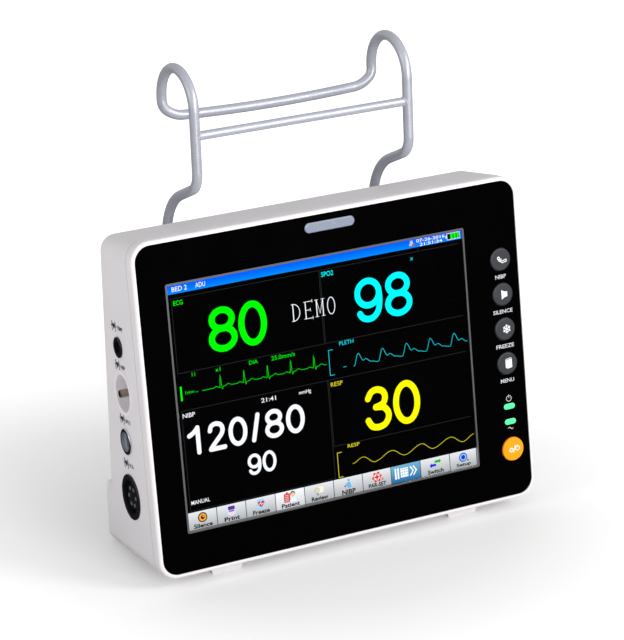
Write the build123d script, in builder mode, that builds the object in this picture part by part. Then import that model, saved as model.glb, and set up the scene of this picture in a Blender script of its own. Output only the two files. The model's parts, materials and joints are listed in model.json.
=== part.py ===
from build123d import *
import os
from math import radians, tan, sin, cos

# Patient monitor with an 8-inch screen: a drafted two-part case, a flush glass front,
# four soft keys and a power key, four sensor sockets on the left side, ports on the right
# side, and a folding wire hook on the back. Millimetres.
#
# The case is drawn in its own axes: X to the right, Y backwards from the face of the glass,
# Z up along the glass, with the case centred on X = 0 and the screen centred on Z = 0.
# At the end the whole monitor is leaned back on its feet and stood on Z = 0.

# Case
CASE_W = 212.6
CASE_H = 167.2
CASE_MID_Z = 0.7
CORNER_R = 9.8
RIM_Y = -0.5                # front edge of the rim, just proud of the glass
BEZEL_BACK_Y = 5.8
GASKET_T = 0.4
COVER_Y = BEZEL_BACK_Y + GASKET_T
DRAFT = 3.7                 # degrees, on every side of the rear cover
WALL = 2.6
BACK_SLOPE = 7.98           # degrees, the back leans in towards the top
BACK_Y0 = 52.2              # upper back face at Z = 0
STEP_OUT = 7.6              # the battery bulge stands this far behind the upper back face
STEP_Z = -46.5              # top of the battery bulge
LEAN = 8.0                  # degrees, how far the monitor leans back when it stands

# Glass front and screen
PANEL_W = 208.7
PANEL_H = 162.9
PANEL_R = 8.0
PANEL_T = 2.0
SCREEN_X = -7.6
SCREEN_W = 162.4
SCREEN_H = 121.8
TRIM_W = 1.0
FIT = 0.1                   # gap round pieces that drop into a seat

# Keys and lamps, in the right-hand border
KEY_X = 94.4
KEY_Z = {"key_nibp": 42.3, "key_silence": 24.3, "key_freeze": 6.35, "key_menu": -11.6}
KEY_R = 5.85
POWER_KEY_Z = -56.5
POWER_KEY_R = 6.1
KEY_GAP = 0.3
KEY_TRAVEL = 0.8
LED_Z = (-34.1, -42.1)      # run lamp and mains lamp
LED_L = 6.5
LED_W = 2.9
ALARM_Z = 76.1
ALARM_L = 27.5
ALARM_W = 5.0

# Sensor sockets on the left side: how far behind the glass, and how high
SOCKET_Y = 28.0
TEMP_AT = (27.2, 29.2)
NIBP_AT = (27.0, 6.3)
SPO2_AT = (28.4, -18.3)
ECG_AT = (29.2, -46.6)
JACK_R = 3.25
DISH_R = 9.3
DISH_DEPTH = 5.6
NOZZLE_R = 2.0

# Ports on the right side
LAN_AT = (26.0, 8.0)
USB_AT = (26.0, -14.0)
DC_AT = (27.0, -38.0)
STUD_R = 3.0
STUD_L = 11.0
STUD_X = 90.0
STUD_V = -30.0              # up the back wall

# Wire hook
WIRE_R = 2.5
CROSSBAR_R = 2.2
LEG_X = 58.5
PIVOT_Y = 62.5
PIVOT_Z = 54.0
CURL_Y = 35.4
CURL_Z = 139.6
CURL_R = 18.0
# The curls run into the rear bar through two bends, and the bar bows: radius and the angle
# turned through from pointing down to pointing along the bar
BAR_BENDS = [(6.5, 0.0, 50.0), (14.5, 50.0, 87.0)]
BAR_BOW = 87.0
CROSSBAR_Z = 126.2
BORE_GAP = 0.05
HUB_R = 7.0
BLOCK_X = (35.0, 50.5)      # inner and outer side of each hinge block

# Inside
CHASSIS_Y = 11.0
CHASSIS_T = 1.2
BOARD_T = 1.6
SCREW_R = 1.5

draft = tan(radians(DRAFT))
slope = tan(radians(BACK_SLOPE))
pieces = {}


def behind(y):
    """Plane parallel to the glass, y behind it; local axes are X and Z."""
    return Plane.XZ.offset(-y)


def back_y(z, out=0.0):
    """Y of the upper back face at height z, moved out by a distance along Y."""
    return BACK_Y0 - z * slope + out


def side_x(y):
    """Half width of the drafted rear cover at depth y."""
    return CASE_W / 2 - (y - COVER_Y) * draft


def keep(name, piece, colour):
    """Label a finished piece and list it for export."""
    piece.label = name
    piece.color = Color(*colour)
    pieces[name] = piece


WHITE = (0.9, 0.9, 0.88)
BLACK = (0.03, 0.03, 0.03)
STEEL = (0.7, 0.71, 0.73)
GREEN = (0.1, 0.4, 0.2)
GREY = (0.35, 0.37, 0.42)
BRASS = (0.8, 0.65, 0.3)

# Plane on the left wall: local x points forwards, local y up, normal outwards
left_wall = Plane(
    origin=(-side_x(SOCKET_Y), SOCKET_Y, 0),
    x_dir=(-sin(radians(DRAFT)), -cos(radians(DRAFT)), 0),
    z_dir=(-cos(radians(DRAFT)), sin(radians(DRAFT)), 0),
)
# Plane on the right wall: local x points backwards, local y up, normal outwards
right_wall = Plane(
    origin=(side_x(SOCKET_Y), SOCKET_Y, 0),
    x_dir=(-sin(radians(DRAFT)), cos(radians(DRAFT)), 0),
    z_dir=(cos(radians(DRAFT)), sin(radians(DRAFT)), 0),
)
# Plane on the upper back face: local x points to -X, local y up the face, normal outwards
back_wall = Plane(
    origin=(0, BACK_Y0, 0),
    x_dir=(-1, 0, 0),
    z_dir=(0, cos(radians(BACK_SLOPE)), sin(radians(BACK_SLOPE))),
)
BULGE_OUT = STEP_OUT * cos(radians(BACK_SLOPE))


def on_left(at):
    """Local position on the left wall of a (depth, height) pair."""
    return (SOCKET_Y - at[0]) / cos(radians(DRAFT)), at[1]


def on_right(at):
    """Local position on the right wall of a (depth, height) pair."""
    return (at[0] - SOCKET_Y) / cos(radians(DRAFT)), at[1]


# ---------------------------------------------------------------- front bezel
LEDGE_W = 203.0
LEDGE_H = 157.0
BOSS_X = 98.9
BOSS_Z = 75.5

with BuildPart() as front_bezel:
    with BuildSketch(behind(RIM_Y)):
        with Locations((0, CASE_MID_Z)):
            RectangleRounded(CASE_W, CASE_H, CORNER_R)
    extrude(amount=-(BEZEL_BACK_Y - RIM_Y))
    fillet(front_bezel.faces().sort_by(Axis.Y)[0].edges(), radius=1.7)
    with BuildSketch(behind(RIM_Y)):
        with Locations((0, CASE_MID_Z)):
            RectangleRounded(PANEL_W + 2 * FIT, PANEL_H + 2 * FIT, PANEL_R + FIT)
    extrude(amount=-(PANEL_T - RIM_Y), mode=Mode.SUBTRACT)
    with BuildSketch(behind(PANEL_T)):
        with Locations((0, CASE_MID_Z)):
            RectangleRounded(LEDGE_W, LEDGE_H, 5)
    extrude(amount=-(BEZEL_BACK_Y - PANEL_T), mode=Mode.SUBTRACT)
    # Four bosses that carry the chassis plate
    with BuildSketch(behind(PANEL_T)):
        with Locations((0, CASE_MID_Z)):
            with GridLocations(2 * BOSS_X, 2 * BOSS_Z, 2, 2):
                Circle(3.4)
    extrude(amount=-(CHASSIS_Y - PANEL_T))
    with BuildSketch(behind(CHASSIS_Y)):
        with Locations((0, CASE_MID_Z)):
            with GridLocations(2 * BOSS_X, 2 * BOSS_Z, 2, 2):
                Circle(SCREW_R)
    extrude(amount=7, mode=Mode.SUBTRACT)
keep("front_bezel", front_bezel.part, WHITE)

with BuildPart() as case_gasket:
    with BuildSketch(behind(BEZEL_BACK_Y)):
        with Locations((0, CASE_MID_Z)):
            RectangleRounded(CASE_W - 1.0, CASE_H - 1.0, CORNER_R - 0.5)
            RectangleRounded(CASE_W - 4.4, CASE_H - 4.4, CORNER_R - 2.2, mode=Mode.SUBTRACT)
    extrude(amount=-GASKET_T)
keep("case_gasket", case_gasket.part, GREY)

# ---------------------------------------------------------------- glass front
with BuildPart() as front_panel:
    with BuildSketch(behind(0)):
        with Locations((0, CASE_MID_Z)):
            RectangleRounded(PANEL_W, PANEL_H, PANEL_R)
        with Locations((SCREEN_X, 0)):
            RectangleRounded(
                SCREEN_W + 2 * TRIM_W + 2 * FIT, SCREEN_H + 2 * TRIM_W + 2 * FIT, 1.2, mode=Mode.SUBTRACT
            )
        with Locations(*[(KEY_X, z) for z in KEY_Z.values()]):
            Circle(KEY_R + KEY_GAP, mode=Mode.SUBTRACT)
        with Locations((KEY_X, POWER_KEY_Z)):
            Circle(POWER_KEY_R + KEY_GAP, mode=Mode.SUBTRACT)
        with Locations(*[(KEY_X - 0.2, z) for z in LED_Z]):
            SlotOverall(LED_L + 2 * FIT, LED_W + 2 * FIT, mode=Mode.SUBTRACT)
        with Locations((0.2, ALARM_Z)):
            SlotOverall(ALARM_L + 2 * FIT, ALARM_W + 2 * FIT, mode=Mode.SUBTRACT)
    extrude(amount=-PANEL_T)
keep("front_panel", front_panel.part, BLACK)

with BuildPart() as display_trim:
    with BuildSketch(behind(0.1)):
        with Locations((SCREEN_X, 0)):
            RectangleRounded(SCREEN_W + 2 * TRIM_W, SCREEN_H + 2 * TRIM_W, 1.1)
            RectangleRounded(SCREEN_W + 0.1, SCREEN_H + 0.1, 0.4, mode=Mode.SUBTRACT)
    extrude(amount=-(PANEL_T - 0.1))
keep("display_trim", display_trim.part, GREY)

GLASS_T = 0.7
with BuildPart() as touch_glass:
    with BuildSketch(behind(0.1)):
        with Locations((SCREEN_X, 0)):
            RectangleRounded(SCREEN_W, SCREEN_H, 0.35)
    extrude(amount=-GLASS_T)
keep("touch_glass", touch_glass.part, (0.6, 0.7, 0.8))

# Display module: the cell stands in the trim, its steel tray and backlight are behind it
CELL_Y = 0.1 + GLASS_T + 0.4
CELL_BACK_Y = 4.15
TRAY_Y = PANEL_T + 0.05
TRAY_T = 5.9
TRAY_W = 183.0
TRAY_H = 141.0

with BuildPart() as lcd_panel:
    with BuildSketch(behind(CELL_Y)):
        with Locations((SCREEN_X, 0)):
            Rectangle(SCREEN_W - 0.1, SCREEN_H - 0.1)
    extrude(amount=-(CELL_BACK_Y - CELL_Y))
    with BuildSketch(behind(2.6)):
        with Locations((SCREEN_X, 0)):
            Rectangle(172, 130)
    extrude(amount=-(CELL_BACK_Y - 2.6))
keep("lcd_panel", lcd_panel.part, (0.05, 0.06, 0.1))

with BuildPart() as backlight:
    with BuildSketch(behind(4.25)):
        with Locations((SCREEN_X, 0)):
            Rectangle(172, 130)
    extrude(amount=-2.9)
keep("backlight", backlight.part, (0.95, 0.95, 0.95))

with BuildPart() as lcd_tray:
    with BuildSketch(behind(TRAY_Y)):
        with Locations((SCREEN_X, 0)):
            RectangleRounded(TRAY_W, TRAY_H, 1.5)
    extrude(amount=-TRAY_T)
    with BuildSketch(behind(TRAY_Y + 0.4)):
        with Locations((SCREEN_X, 0)):
            Rectangle(172.6, 130.6)
    extrude(amount=-(TRAY_T - 1.0), mode=Mode.SUBTRACT)
    with BuildSketch(behind(TRAY_Y)):
        with Locations((SCREEN_X, 0)):
            Rectangle(SCREEN_W + 0.6, SCREEN_H + 0.6)
    extrude(amount=-1.0, mode=Mode.SUBTRACT)
keep("lcd_tray", lcd_tray.part, STEEL)

# ---------------------------------------------------------------- keys
FLANGE_R = 7.0
FLANGE_Y = PANEL_T + 0.05
SWITCH_Y = 5.15             # front of the switch plungers, past the keys' travel
KEYBOARD_Y = 8.5


def make_key(z, radius, proud):
    """A round key cap with its retaining flange and the stem that presses the switch."""
    with BuildPart() as key:
        with BuildSketch(behind(-proud)):
            with Locations((KEY_X, z)):
                Circle(radius)
        extrude(amount=-(FLANGE_Y + 0.5 + proud))
        fillet(key.faces().sort_by(Axis.Y)[0].edges(), radius=0.7)
        with BuildSketch(behind(FLANGE_Y)):
            with Locations((KEY_X, z)):
                Circle(FLANGE_R)
        extrude(amount=-1.0)
        with BuildSketch(behind(FLANGE_Y + 1.0)):
            with Locations((KEY_X, z)):
                Circle(2.5)
        extrude(amount=-(SWITCH_Y - KEY_TRAVEL - 0.05 - FLANGE_Y - 1.0))
    return key.part


for key_name, key_z in KEY_Z.items():
    keep(key_name, make_key(key_z, KEY_R, 0.7), GREY)
keep("key_power", make_key(POWER_KEY_Z, POWER_KEY_R, 0.9), (0.95, 0.55, 0.05))

key_heights = list(KEY_Z.values()) + [POWER_KEY_Z]

with BuildPart() as key_switches:
    with BuildSketch(behind(SWITCH_Y + 0.7)):
        with Locations(*[(KEY_X, z) for z in key_heights]):
            Rectangle(6, 6)
    extrude(amount=-(KEYBOARD_Y - SWITCH_Y - 0.7))
    with BuildSketch(behind(SWITCH_Y)):
        with Locations(*[(KEY_X, z) for z in key_heights]):
            Circle(1.7)
    extrude(amount=-0.7)
keep("key_switches", key_switches.part, STEEL)

# Light guides: a pill in the glass, a shoulder behind it and a foot over the diode
led_places = [(KEY_X - 0.2, z) for z in LED_Z]

with BuildPart() as led_lenses:
    with BuildSketch(behind(-0.1)):
        with Locations(*led_places):
            SlotOverall(LED_L, LED_W)
    extrude(amount=-(FLANGE_Y + 0.5))
    fillet(led_lenses.faces().filter_by(Plane.XZ).group_by(Axis.Y)[0].edges(), radius=0.25)
    with BuildSketch(behind(FLANGE_Y)):
        with Locations(*led_places):
            SlotOverall(LED_L + 1.8, LED_W + 1.8)
    extrude(amount=-1.0)
    with BuildSketch(behind(FLANGE_Y + 1.0)):
        with Locations(*led_places):
            Rectangle(3, 2.4)
    extrude(amount=-3.9)
keep("led_lenses", led_lenses.part, (0.3, 0.9, 0.5))

with BuildPart() as alarm_lens:
    with BuildSketch(behind(-0.3)):
        with Locations((0.2, ALARM_Z)):
            SlotOverall(ALARM_L, ALARM_W)
    extrude(amount=-(FLANGE_Y + 0.8))
    fillet(alarm_lens.faces().sort_by(Axis.Y)[0].edges(), radius=0.6)
    with BuildSketch(behind(FLANGE_Y)):
        with Locations((0.2, ALARM_Z)):
            SlotOverall(ALARM_L + 3, 5.9)
    extrude(amount=-1.2)
    with BuildSketch(behind(FLANGE_Y + 1.2)):
        with Locations((0.2, ALARM_Z)):
            SlotOverall(ALARM_L - 4, 3.6)
    extrude(amount=-3.2)
keep("alarm_lens", alarm_lens.part, (0.8, 0.85, 0.95))

with BuildPart() as diodes:
    with BuildSketch(behind(7.4)):
        with Locations(*led_places):
            Rectangle(2, 1.25)
        with Locations((0.2, ALARM_Z)):
            with GridLocations(8, 1, 3, 1):
                Rectangle(3, 2)
    extrude(amount=-(KEYBOARD_Y - 7.4))
keep("diodes", diodes.part, WHITE)

with BuildPart() as front_boards:
    with BuildSketch(behind(KEYBOARD_Y)):
        with Locations((KEY_X - 0.3, -7)):
            RectangleRounded(13.6, 124, 1)
        with Locations((0.2, 75.3)):
            RectangleRounded(44, 7.2, 1)
    extrude(amount=-BOARD_T)
keep("front_boards", front_boards.part, GREEN)

# ---------------------------------------------------------------- rear cover
COVER_DEPTH = 76.0
CASE_SCREW_X = 80.0
CASE_SCREW_Z = (64.0, -34.0)
SCREW_SEAT_Y = 20.0
BOSS_END_Y = CHASSIS_Y + CHASSIS_T + 0.1
HINGE_SCREW_V = (43.0, 67.0)
HINGE_X = (BLOCK_X[0] + BLOCK_X[1]) / 2
BATTERY_Z = -62.0
DOOR_W = 132.0
DOOR_H = 19.0
DOOR_T = 1.6
DOOR_SCREW_X = 62.0
PLATE_W = 70.0
PLATE_H = 34.0
SPEAKER_X = 62.0
SPEAKER_V = 2.0
VENT_V = 52.0
VENT_L = 24.0
PLATE_V = 18.0
DOOR_V = BATTERY_Z / cos(radians(BACK_SLOPE)) + STEP_OUT * sin(radians(BACK_SLOPE))
HINGE_SCREWS = [(side * HINGE_X, v) for side in (-1, 1) for v in HINGE_SCREW_V]
DOOR_SCREWS = [(side * DOOR_SCREW_X, DOOR_V) for side in (-1, 1)]
HOLES_LEFT = [(TEMP_AT, 4.5), (NIBP_AT, DISH_R + 1.6), (SPO2_AT, 5.9), (ECG_AT, 10.4)]
HOLES_RIGHT = [(DC_AT, 5.6)]
WINDOWS_RIGHT = [(LAN_AT, 16.4, 13.6), (USB_AT, 6.4, 13.6)]


def cover_outline(inset):
    """Side outline of the rear cover in the YZ plane, moved inwards by the inset."""
    top = CASE_MID_Z + CASE_H / 2 + 5
    bottom = CASE_MID_Z - CASE_H / 2 - 5
    corners = [
        (COVER_Y - 5, bottom),
        (COVER_Y - 5, top),
        (back_y(top) - inset, top),
        (back_y(STEP_Z) - inset, STEP_Z - inset),
        (back_y(STEP_Z, STEP_OUT) - inset, STEP_Z - inset),
        (back_y(bottom, STEP_OUT) - inset, bottom),
    ]
    return corners


def cover_bottom_z(y, inset=0.0):
    """Height of the drafted bottom wall at depth y."""
    return CASE_MID_Z - CASE_H / 2 + (y - COVER_Y) * draft + inset


with BuildPart() as cavity:
    with BuildSketch(behind(COVER_Y)):
        with Locations((0, CASE_MID_Z)):
            RectangleRounded(CASE_W - 2 * WALL, CASE_H - 2 * WALL, CORNER_R - WALL)
    extrude(amount=-COVER_DEPTH, taper=DRAFT)
    with BuildSketch(Plane.YZ):
        with BuildLine():
            Polyline(*cover_outline(WALL), close=True)
        make_face()
    extrude(amount=CASE_W, both=True, mode=Mode.INTERSECT)

with BuildPart() as rear_cover:
    with BuildSketch(behind(COVER_Y)):
        with Locations((0, CASE_MID_Z)):
            RectangleRounded(CASE_W, CASE_H, CORNER_R)
    extrude(amount=-COVER_DEPTH, taper=DRAFT)
    with BuildSketch(Plane.YZ) as outline:
        with BuildLine():
            Polyline(*cover_outline(0), close=True)
        make_face()
        inner_corner = outline.vertices().sort_by(Axis.Y)[2:4].sort_by(Axis.X)[0]
        fillet(inner_corner, radius=4.0)
    extrude(amount=CASE_W, both=True, mode=Mode.INTERSECT)
    back_rim = rear_cover.edges().filter_by(lambda e: e.center().Y > 38 and e.length > 3)
    back_rim = back_rim.filter_by(lambda e: abs(e.tangent_at(0.5).Y) < 0.9)
    fillet(back_rim, radius=2.4)
    add(cavity.part, mode=Mode.SUBTRACT)

    # Deep bosses for the case screws; the floor of each hole is the screw's seat
    for screw_z in CASE_SCREW_Z:
        places = [(CASE_SCREW_X, screw_z), (-CASE_SCREW_X, screw_z)]
        with BuildSketch(behind(BOSS_END_Y)):
            with Locations(*places):
                Circle(5.6)
        extrude(amount=-(back_y(screw_z) - WALL / 2 - BOSS_END_Y))
        with BuildSketch(behind(SCREW_SEAT_Y)):
            with Locations(*places):
                Circle(3.6)
        extrude(amount=-60, mode=Mode.SUBTRACT)
        with BuildSketch(behind(BOSS_END_Y)):
            with Locations(*places):
                Circle(SCREW_R + 0.2)
        extrude(amount=-20, mode=Mode.SUBTRACT)
    # Holes for the sockets in the left wall
    for place, radius in HOLES_LEFT:
        with BuildSketch(left_wall.offset(3)):
            with Locations(on_left(place)):
                Circle(radius)
        extrude(amount=-9, mode=Mode.SUBTRACT)
    # Openings for the ports in the right wall
    for place, width, height in WINDOWS_RIGHT:
        with BuildSketch(right_wall.offset(3)):
            with Locations(on_right(place)):
                Rectangle(width, height)
        extrude(amount=-9, mode=Mode.SUBTRACT)
    for place, radius in HOLES_RIGHT:
        with BuildSketch(right_wall.offset(3)):
            with Locations(on_right(place)):
                Circle(radius)
        extrude(amount=-9, mode=Mode.SUBTRACT)
    # Vents and the speaker's grille in the upper back
    with BuildSketch(back_wall.offset(3)):
        with Locations((0, VENT_V)):
            with GridLocations(7.5, 1, 9, 1):
                SlotOverall(VENT_L, 2.6, rotation=90)
        with Locations((-SPEAKER_X, SPEAKER_V)):
            with HexLocations(2.6, 7, 7):
                Circle(1.2)
    extrude(amount=-9, mode=Mode.SUBTRACT)
    # Holes for the hinge blocks' screws and for the equipotential stud
    with BuildSketch(back_wall.offset(3)):
        with Locations(*HINGE_SCREWS):
            Circle(SCREW_R)
        with Locations((-STUD_X, STUD_V)):
            Circle(STUD_R + FIT)
    extrude(amount=-9, mode=Mode.SUBTRACT)
    # Recess for the rating plate
    with BuildSketch(back_wall):
        with Locations((0, PLATE_V)):
            RectangleRounded(PLATE_W + 2 * FIT, PLATE_H + 2 * FIT, 2 + FIT)
    extrude(amount=-0.5, mode=Mode.SUBTRACT)
    # Battery bay: a seat for the door, the opening behind it and two screw holes
    with BuildSketch(back_wall.offset(BULGE_OUT)):
        with Locations((0, DOOR_V)):
            RectangleRounded(DOOR_W + 2 * FIT, DOOR_H + 2 * FIT, 3)
    extrude(amount=-DOOR_T, mode=Mode.SUBTRACT)
    with BuildSketch(back_wall.offset(BULGE_OUT)):
        with Locations((0, DOOR_V)):
            RectangleRounded(DOOR_W - 14, DOOR_H - 2.4, 2)
    extrude(amount=-8, mode=Mode.SUBTRACT)
    with BuildSketch(back_wall.offset(BULGE_OUT)):
        with Locations((0, DOOR_V)):
            with GridLocations(2 * DOOR_SCREW_X, 1, 2, 1):
                Circle(SCREW_R)
    extrude(amount=-8, mode=Mode.SUBTRACT)
keep("rear_cover", rear_cover.part, WHITE)

# ---------------------------------------------------------------- feet
FOOT_X = 67.0
FOOT_W = 18.0
FOOT_Y = (7.5, 19.0)
FOOT_DROP = 87.6            # the front feet's middle, below the screen's centre
PAD_X = 75.0
PAD_Y = 56.0
PAD_R = 6.0


def floor_z(y):
    """Height of the table under the leaned-back case at depth y."""
    return -FOOT_DROP + (y - 9) * tan(radians(LEAN))


with BuildPart() as front_feet:
    # Moulded trapezoids that end flat on the table
    foot_top = cover_bottom_z(FOOT_Y[0]) + 2
    with BuildSketch(behind(FOOT_Y[0] - 1)):
        for foot_x in (-FOOT_X, FOOT_X):
            with BuildLine():
                Polyline(
                    (foot_x - FOOT_W / 2 - 1, foot_top), (foot_x + FOOT_W / 2 + 1, foot_top),
                    (foot_x + FOOT_W / 2 - 1.5, -FOOT_DROP - 1), (foot_x - FOOT_W / 2 + 1.5, -FOOT_DROP - 1),
                    close=True,
                )
            make_face()
    extrude(amount=-(FOOT_Y[1] - FOOT_Y[0] + 2))
    with BuildSketch(Plane.YZ):
        with BuildLine():
            Polyline(
                (FOOT_Y[0], cover_bottom_z(FOOT_Y[0])), (FOOT_Y[1], cover_bottom_z(FOOT_Y[1])),
                (FOOT_Y[1] - 1.2, floor_z(FOOT_Y[1] - 1.2)), (FOOT_Y[0] + 1.0, floor_z(FOOT_Y[0] + 1.0)),
                close=True,
            )
        make_face()
    extrude(amount=CASE_W, both=True, mode=Mode.INTERSECT)
keep("front_feet", front_feet.part, WHITE)

with BuildPart() as rear_pads:
    with BuildSketch(Plane.XY.offset(-90)):
        with Locations((PAD_X, PAD_Y), (-PAD_X, PAD_Y)):
            Circle(PAD_R)
    extrude(amount=20)
    with BuildSketch(Plane.YZ):
        with BuildLine():
            Polyline(
                (PAD_Y - 9, cover_bottom_z(PAD_Y - 9)), (PAD_Y + 9, cover_bottom_z(PAD_Y + 9)),
                (PAD_Y + 9, floor_z(PAD_Y + 9)), (PAD_Y - 9, floor_z(PAD_Y - 9)),
                close=True,
            )
        make_face()
    extrude(amount=CASE_W, both=True, mode=Mode.INTERSECT)
keep("rear_pads", rear_pads.part, GREY)

# ---------------------------------------------------------------- left sockets
with BuildPart() as temp_jack:
    with BuildSketch(left_wall):
        with Locations(on_left(TEMP_AT)):
            Circle(5.2)
    extrude(amount=0.9)
    fillet(temp_jack.faces().sort_by(Axis.X)[0].edges(), radius=0.4)
    with BuildSketch(left_wall):
        with Locations(on_left(TEMP_AT)):
            Circle(4.4)
    extrude(amount=-4)
    with BuildSketch(left_wall.offset(-3.0)):
        with Locations(on_left(TEMP_AT)):
            RectangleRounded(11, 11, 1)
    extrude(amount=-14)
    with BuildSketch(left_wall.offset(0.9)):
        with Locations(on_left(TEMP_AT)):
            Circle(JACK_R)
    extrude(amount=-14, mode=Mode.SUBTRACT)
keep("temp_jack", temp_jack.part, BLACK)

with BuildPart() as nibp_dish:
    with BuildSketch(left_wall):
        with Locations(on_left(NIBP_AT)):
            Circle(DISH_R + 2.3)
    extrude(amount=0.5)
    with BuildSketch(left_wall):
        with Locations(on_left(NIBP_AT)):
            Circle(DISH_R + 1.5)
    extrude(amount=-(DISH_DEPTH + 1.8))
    with BuildSketch(left_wall.offset(0.5)):
        with Locations(on_left(NIBP_AT)):
            Circle(DISH_R)
    extrude(amount=-(DISH_DEPTH + 0.5), mode=Mode.SUBTRACT)
    fillet(nibp_dish.faces().sort_by(Axis.X)[0].edges(), radius=0.45)
    # Groove round the floor, and the hole for the nozzle
    with BuildSketch(left_wall.offset(-DISH_DEPTH)):
        with Locations(on_left(NIBP_AT)):
            Circle(DISH_R - 0.1)
            Circle(DISH_R - 0.6, mode=Mode.SUBTRACT)
    extrude(amount=-0.6, mode=Mode.SUBTRACT)
    with BuildSketch(left_wall):
        with Locations(on_left(NIBP_AT)):
            Circle(3.05)
    extrude(amount=-20, mode=Mode.SUBTRACT)
keep("nibp_dish", nibp_dish.part, WHITE)

# Radius and length of each stretch of the nozzle, from its mouth inwards
NOZZLE_STEPS = [(1.75, 0.5), (NOZZLE_R, 6.45), (3.8, 0.5), (3.0, 5.0), (2.2, 7.0)]
NOZZLE_PROUD = 1.9

with BuildPart() as nibp_nozzle:
    depth = NOZZLE_PROUD
    for step_r, step_l in NOZZLE_STEPS:
        with BuildSketch(left_wall.offset(depth)):
            with Locations(on_left(NIBP_AT)):
                Circle(step_r)
        extrude(amount=-step_l)
        depth -= step_l
    with BuildSketch(left_wall.offset(NOZZLE_PROUD)):
        with Locations(on_left(NIBP_AT)):
            Circle(0.9)
    extrude(amount=-30, mode=Mode.SUBTRACT)
keep("nibp_nozzle", nibp_nozzle.part, STEEL)

with BuildPart() as spo2_ring:
    with BuildSketch(left_wall):
        with Locations(on_left(SPO2_AT)):
            Circle(6.65)
    extrude(amount=1.0)
    fillet(spo2_ring.faces().sort_by(Axis.X)[0].edges(), radius=0.5)
    with BuildSketch(left_wall):
        with Locations(on_left(SPO2_AT)):
            Circle(5.8)
    extrude(amount=-9.5)
    with BuildSketch(left_wall.offset(2)):
        with Locations(on_left(SPO2_AT)):
            Circle(5.0)
    extrude(amount=-14, mode=Mode.SUBTRACT)
keep("spo2_ring", spo2_ring.part, STEEL)

with BuildPart() as spo2_insert:
    with BuildSketch(left_wall.offset(-0.3)):
        with Locations(on_left(SPO2_AT)):
            Circle(4.95)
    extrude(amount=-9)
    with BuildSketch(left_wall):
        with Locations(on_left(SPO2_AT)):
            SlotOverall(6.2, 1.8, rotation=90)
    extrude(amount=-5, mode=Mode.SUBTRACT)
    with BuildSketch(left_wall):
        with Locations(on_left((SPO2_AT[0], SPO2_AT[1] + 4.6))):
            Rectangle(2.0, 1.4)
    extrude(amount=-3, mode=Mode.SUBTRACT)
keep("spo2_insert", spo2_insert.part, GREY)

ECG_WELL_R = 8.6
ECG_ISLAND_R = 6.2
ECG_PIN_CIRCLE = 4.5
ECG_PIN_R = 0.95
ECG_PIN_BORE_R = 0.5

with BuildPart() as ecg_ring:
    with BuildSketch(left_wall):
        with Locations(on_left(ECG_AT)):
            Circle(11.45)
    extrude(amount=0.8)
    fillet(ecg_ring.faces().sort_by(Axis.X)[0].edges(), radius=0.4)
    with BuildSketch(left_wall):
        with Locations(on_left(ECG_AT)):
            Circle(10.3)
    extrude(amount=-13)
    with BuildSketch(left_wall.offset(2)):
        with Locations(on_left(ECG_AT)):
            Circle(ECG_WELL_R)
    extrude(amount=-20, mode=Mode.SUBTRACT)
keep("ecg_ring", ecg_ring.part, BLACK)

with BuildPart() as ecg_insert:
    with BuildSketch(left_wall.offset(-8)):
        with Locations(on_left(ECG_AT)):
            Circle(ECG_WELL_R - 0.05)
    extrude(amount=-5)
    with BuildSketch(left_wall.offset(-8)):
        with Locations(on_left(ECG_AT)):
            Circle(ECG_ISLAND_R)
    extrude(amount=7.6)
    with BuildSketch(left_wall):
        with Locations(on_left(ECG_AT)):
            with PolarLocations(ECG_PIN_CIRCLE, 6):
                Circle(ECG_PIN_R + 0.02)
    extrude(amount=-9.6, mode=Mode.SUBTRACT)
keep("ecg_insert", ecg_insert.part, BLACK)

with BuildPart() as ecg_pins:
    with BuildSketch(left_wall.offset(-0.2)):
        with Locations(on_left(ECG_AT)):
            with PolarLocations(ECG_PIN_CIRCLE, 6):
                Circle(ECG_PIN_R)
    extrude(amount=-9)
    with BuildSketch(left_wall.offset(-0.2)):
        with Locations(on_left(ECG_AT)):
            with PolarLocations(ECG_PIN_CIRCLE, 6):
                Circle(ECG_PIN_BORE_R)
    extrude(amount=-7, mode=Mode.SUBTRACT)
keep("ecg_pins", ecg_pins.part, BRASS)

# Hexagon nuts inside the left wall: where, how deep, half width, bore and thickness
NUTS = [
    (NIBP_AT, DISH_DEPTH + 1.85, 5.4, 3.05, 2.2),
    (SPO2_AT, WALL + 0.1, 8.4, 5.85, 2.4),
    (ECG_AT, WALL + 0.1, 13.0, 10.35, 2.6),
]

with BuildPart() as socket_nuts:
    for place, nut_depth, nut_r, nut_bore, nut_t in NUTS:
        with BuildSketch(left_wall.offset(-nut_depth)):
            with Locations(on_left(place)):
                RegularPolygon(nut_r, 6)
                Circle(nut_bore, mode=Mode.SUBTRACT)
        extrude(amount=-nut_t)
keep("socket_nuts", socket_nuts.part, STEEL)

# ---------------------------------------------------------------- right ports
with BuildPart() as lan_port:
    with BuildSketch(right_wall.offset(0.2)):
        with Locations(on_right(LAN_AT)):
            Rectangle(16.0, 13.2)
    extrude(amount=-18)
    with BuildSketch(right_wall.offset(0.2)):
        with Locations(on_right(LAN_AT)):
            Rectangle(8.0, 11.8)
        with Locations(on_right((LAN_AT[0] - 4.8, LAN_AT[1]))):
            Rectangle(2.4, 5.0)
    extrude(amount=-12, mode=Mode.SUBTRACT)
keep("lan_port", lan_port.part, STEEL)

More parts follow.
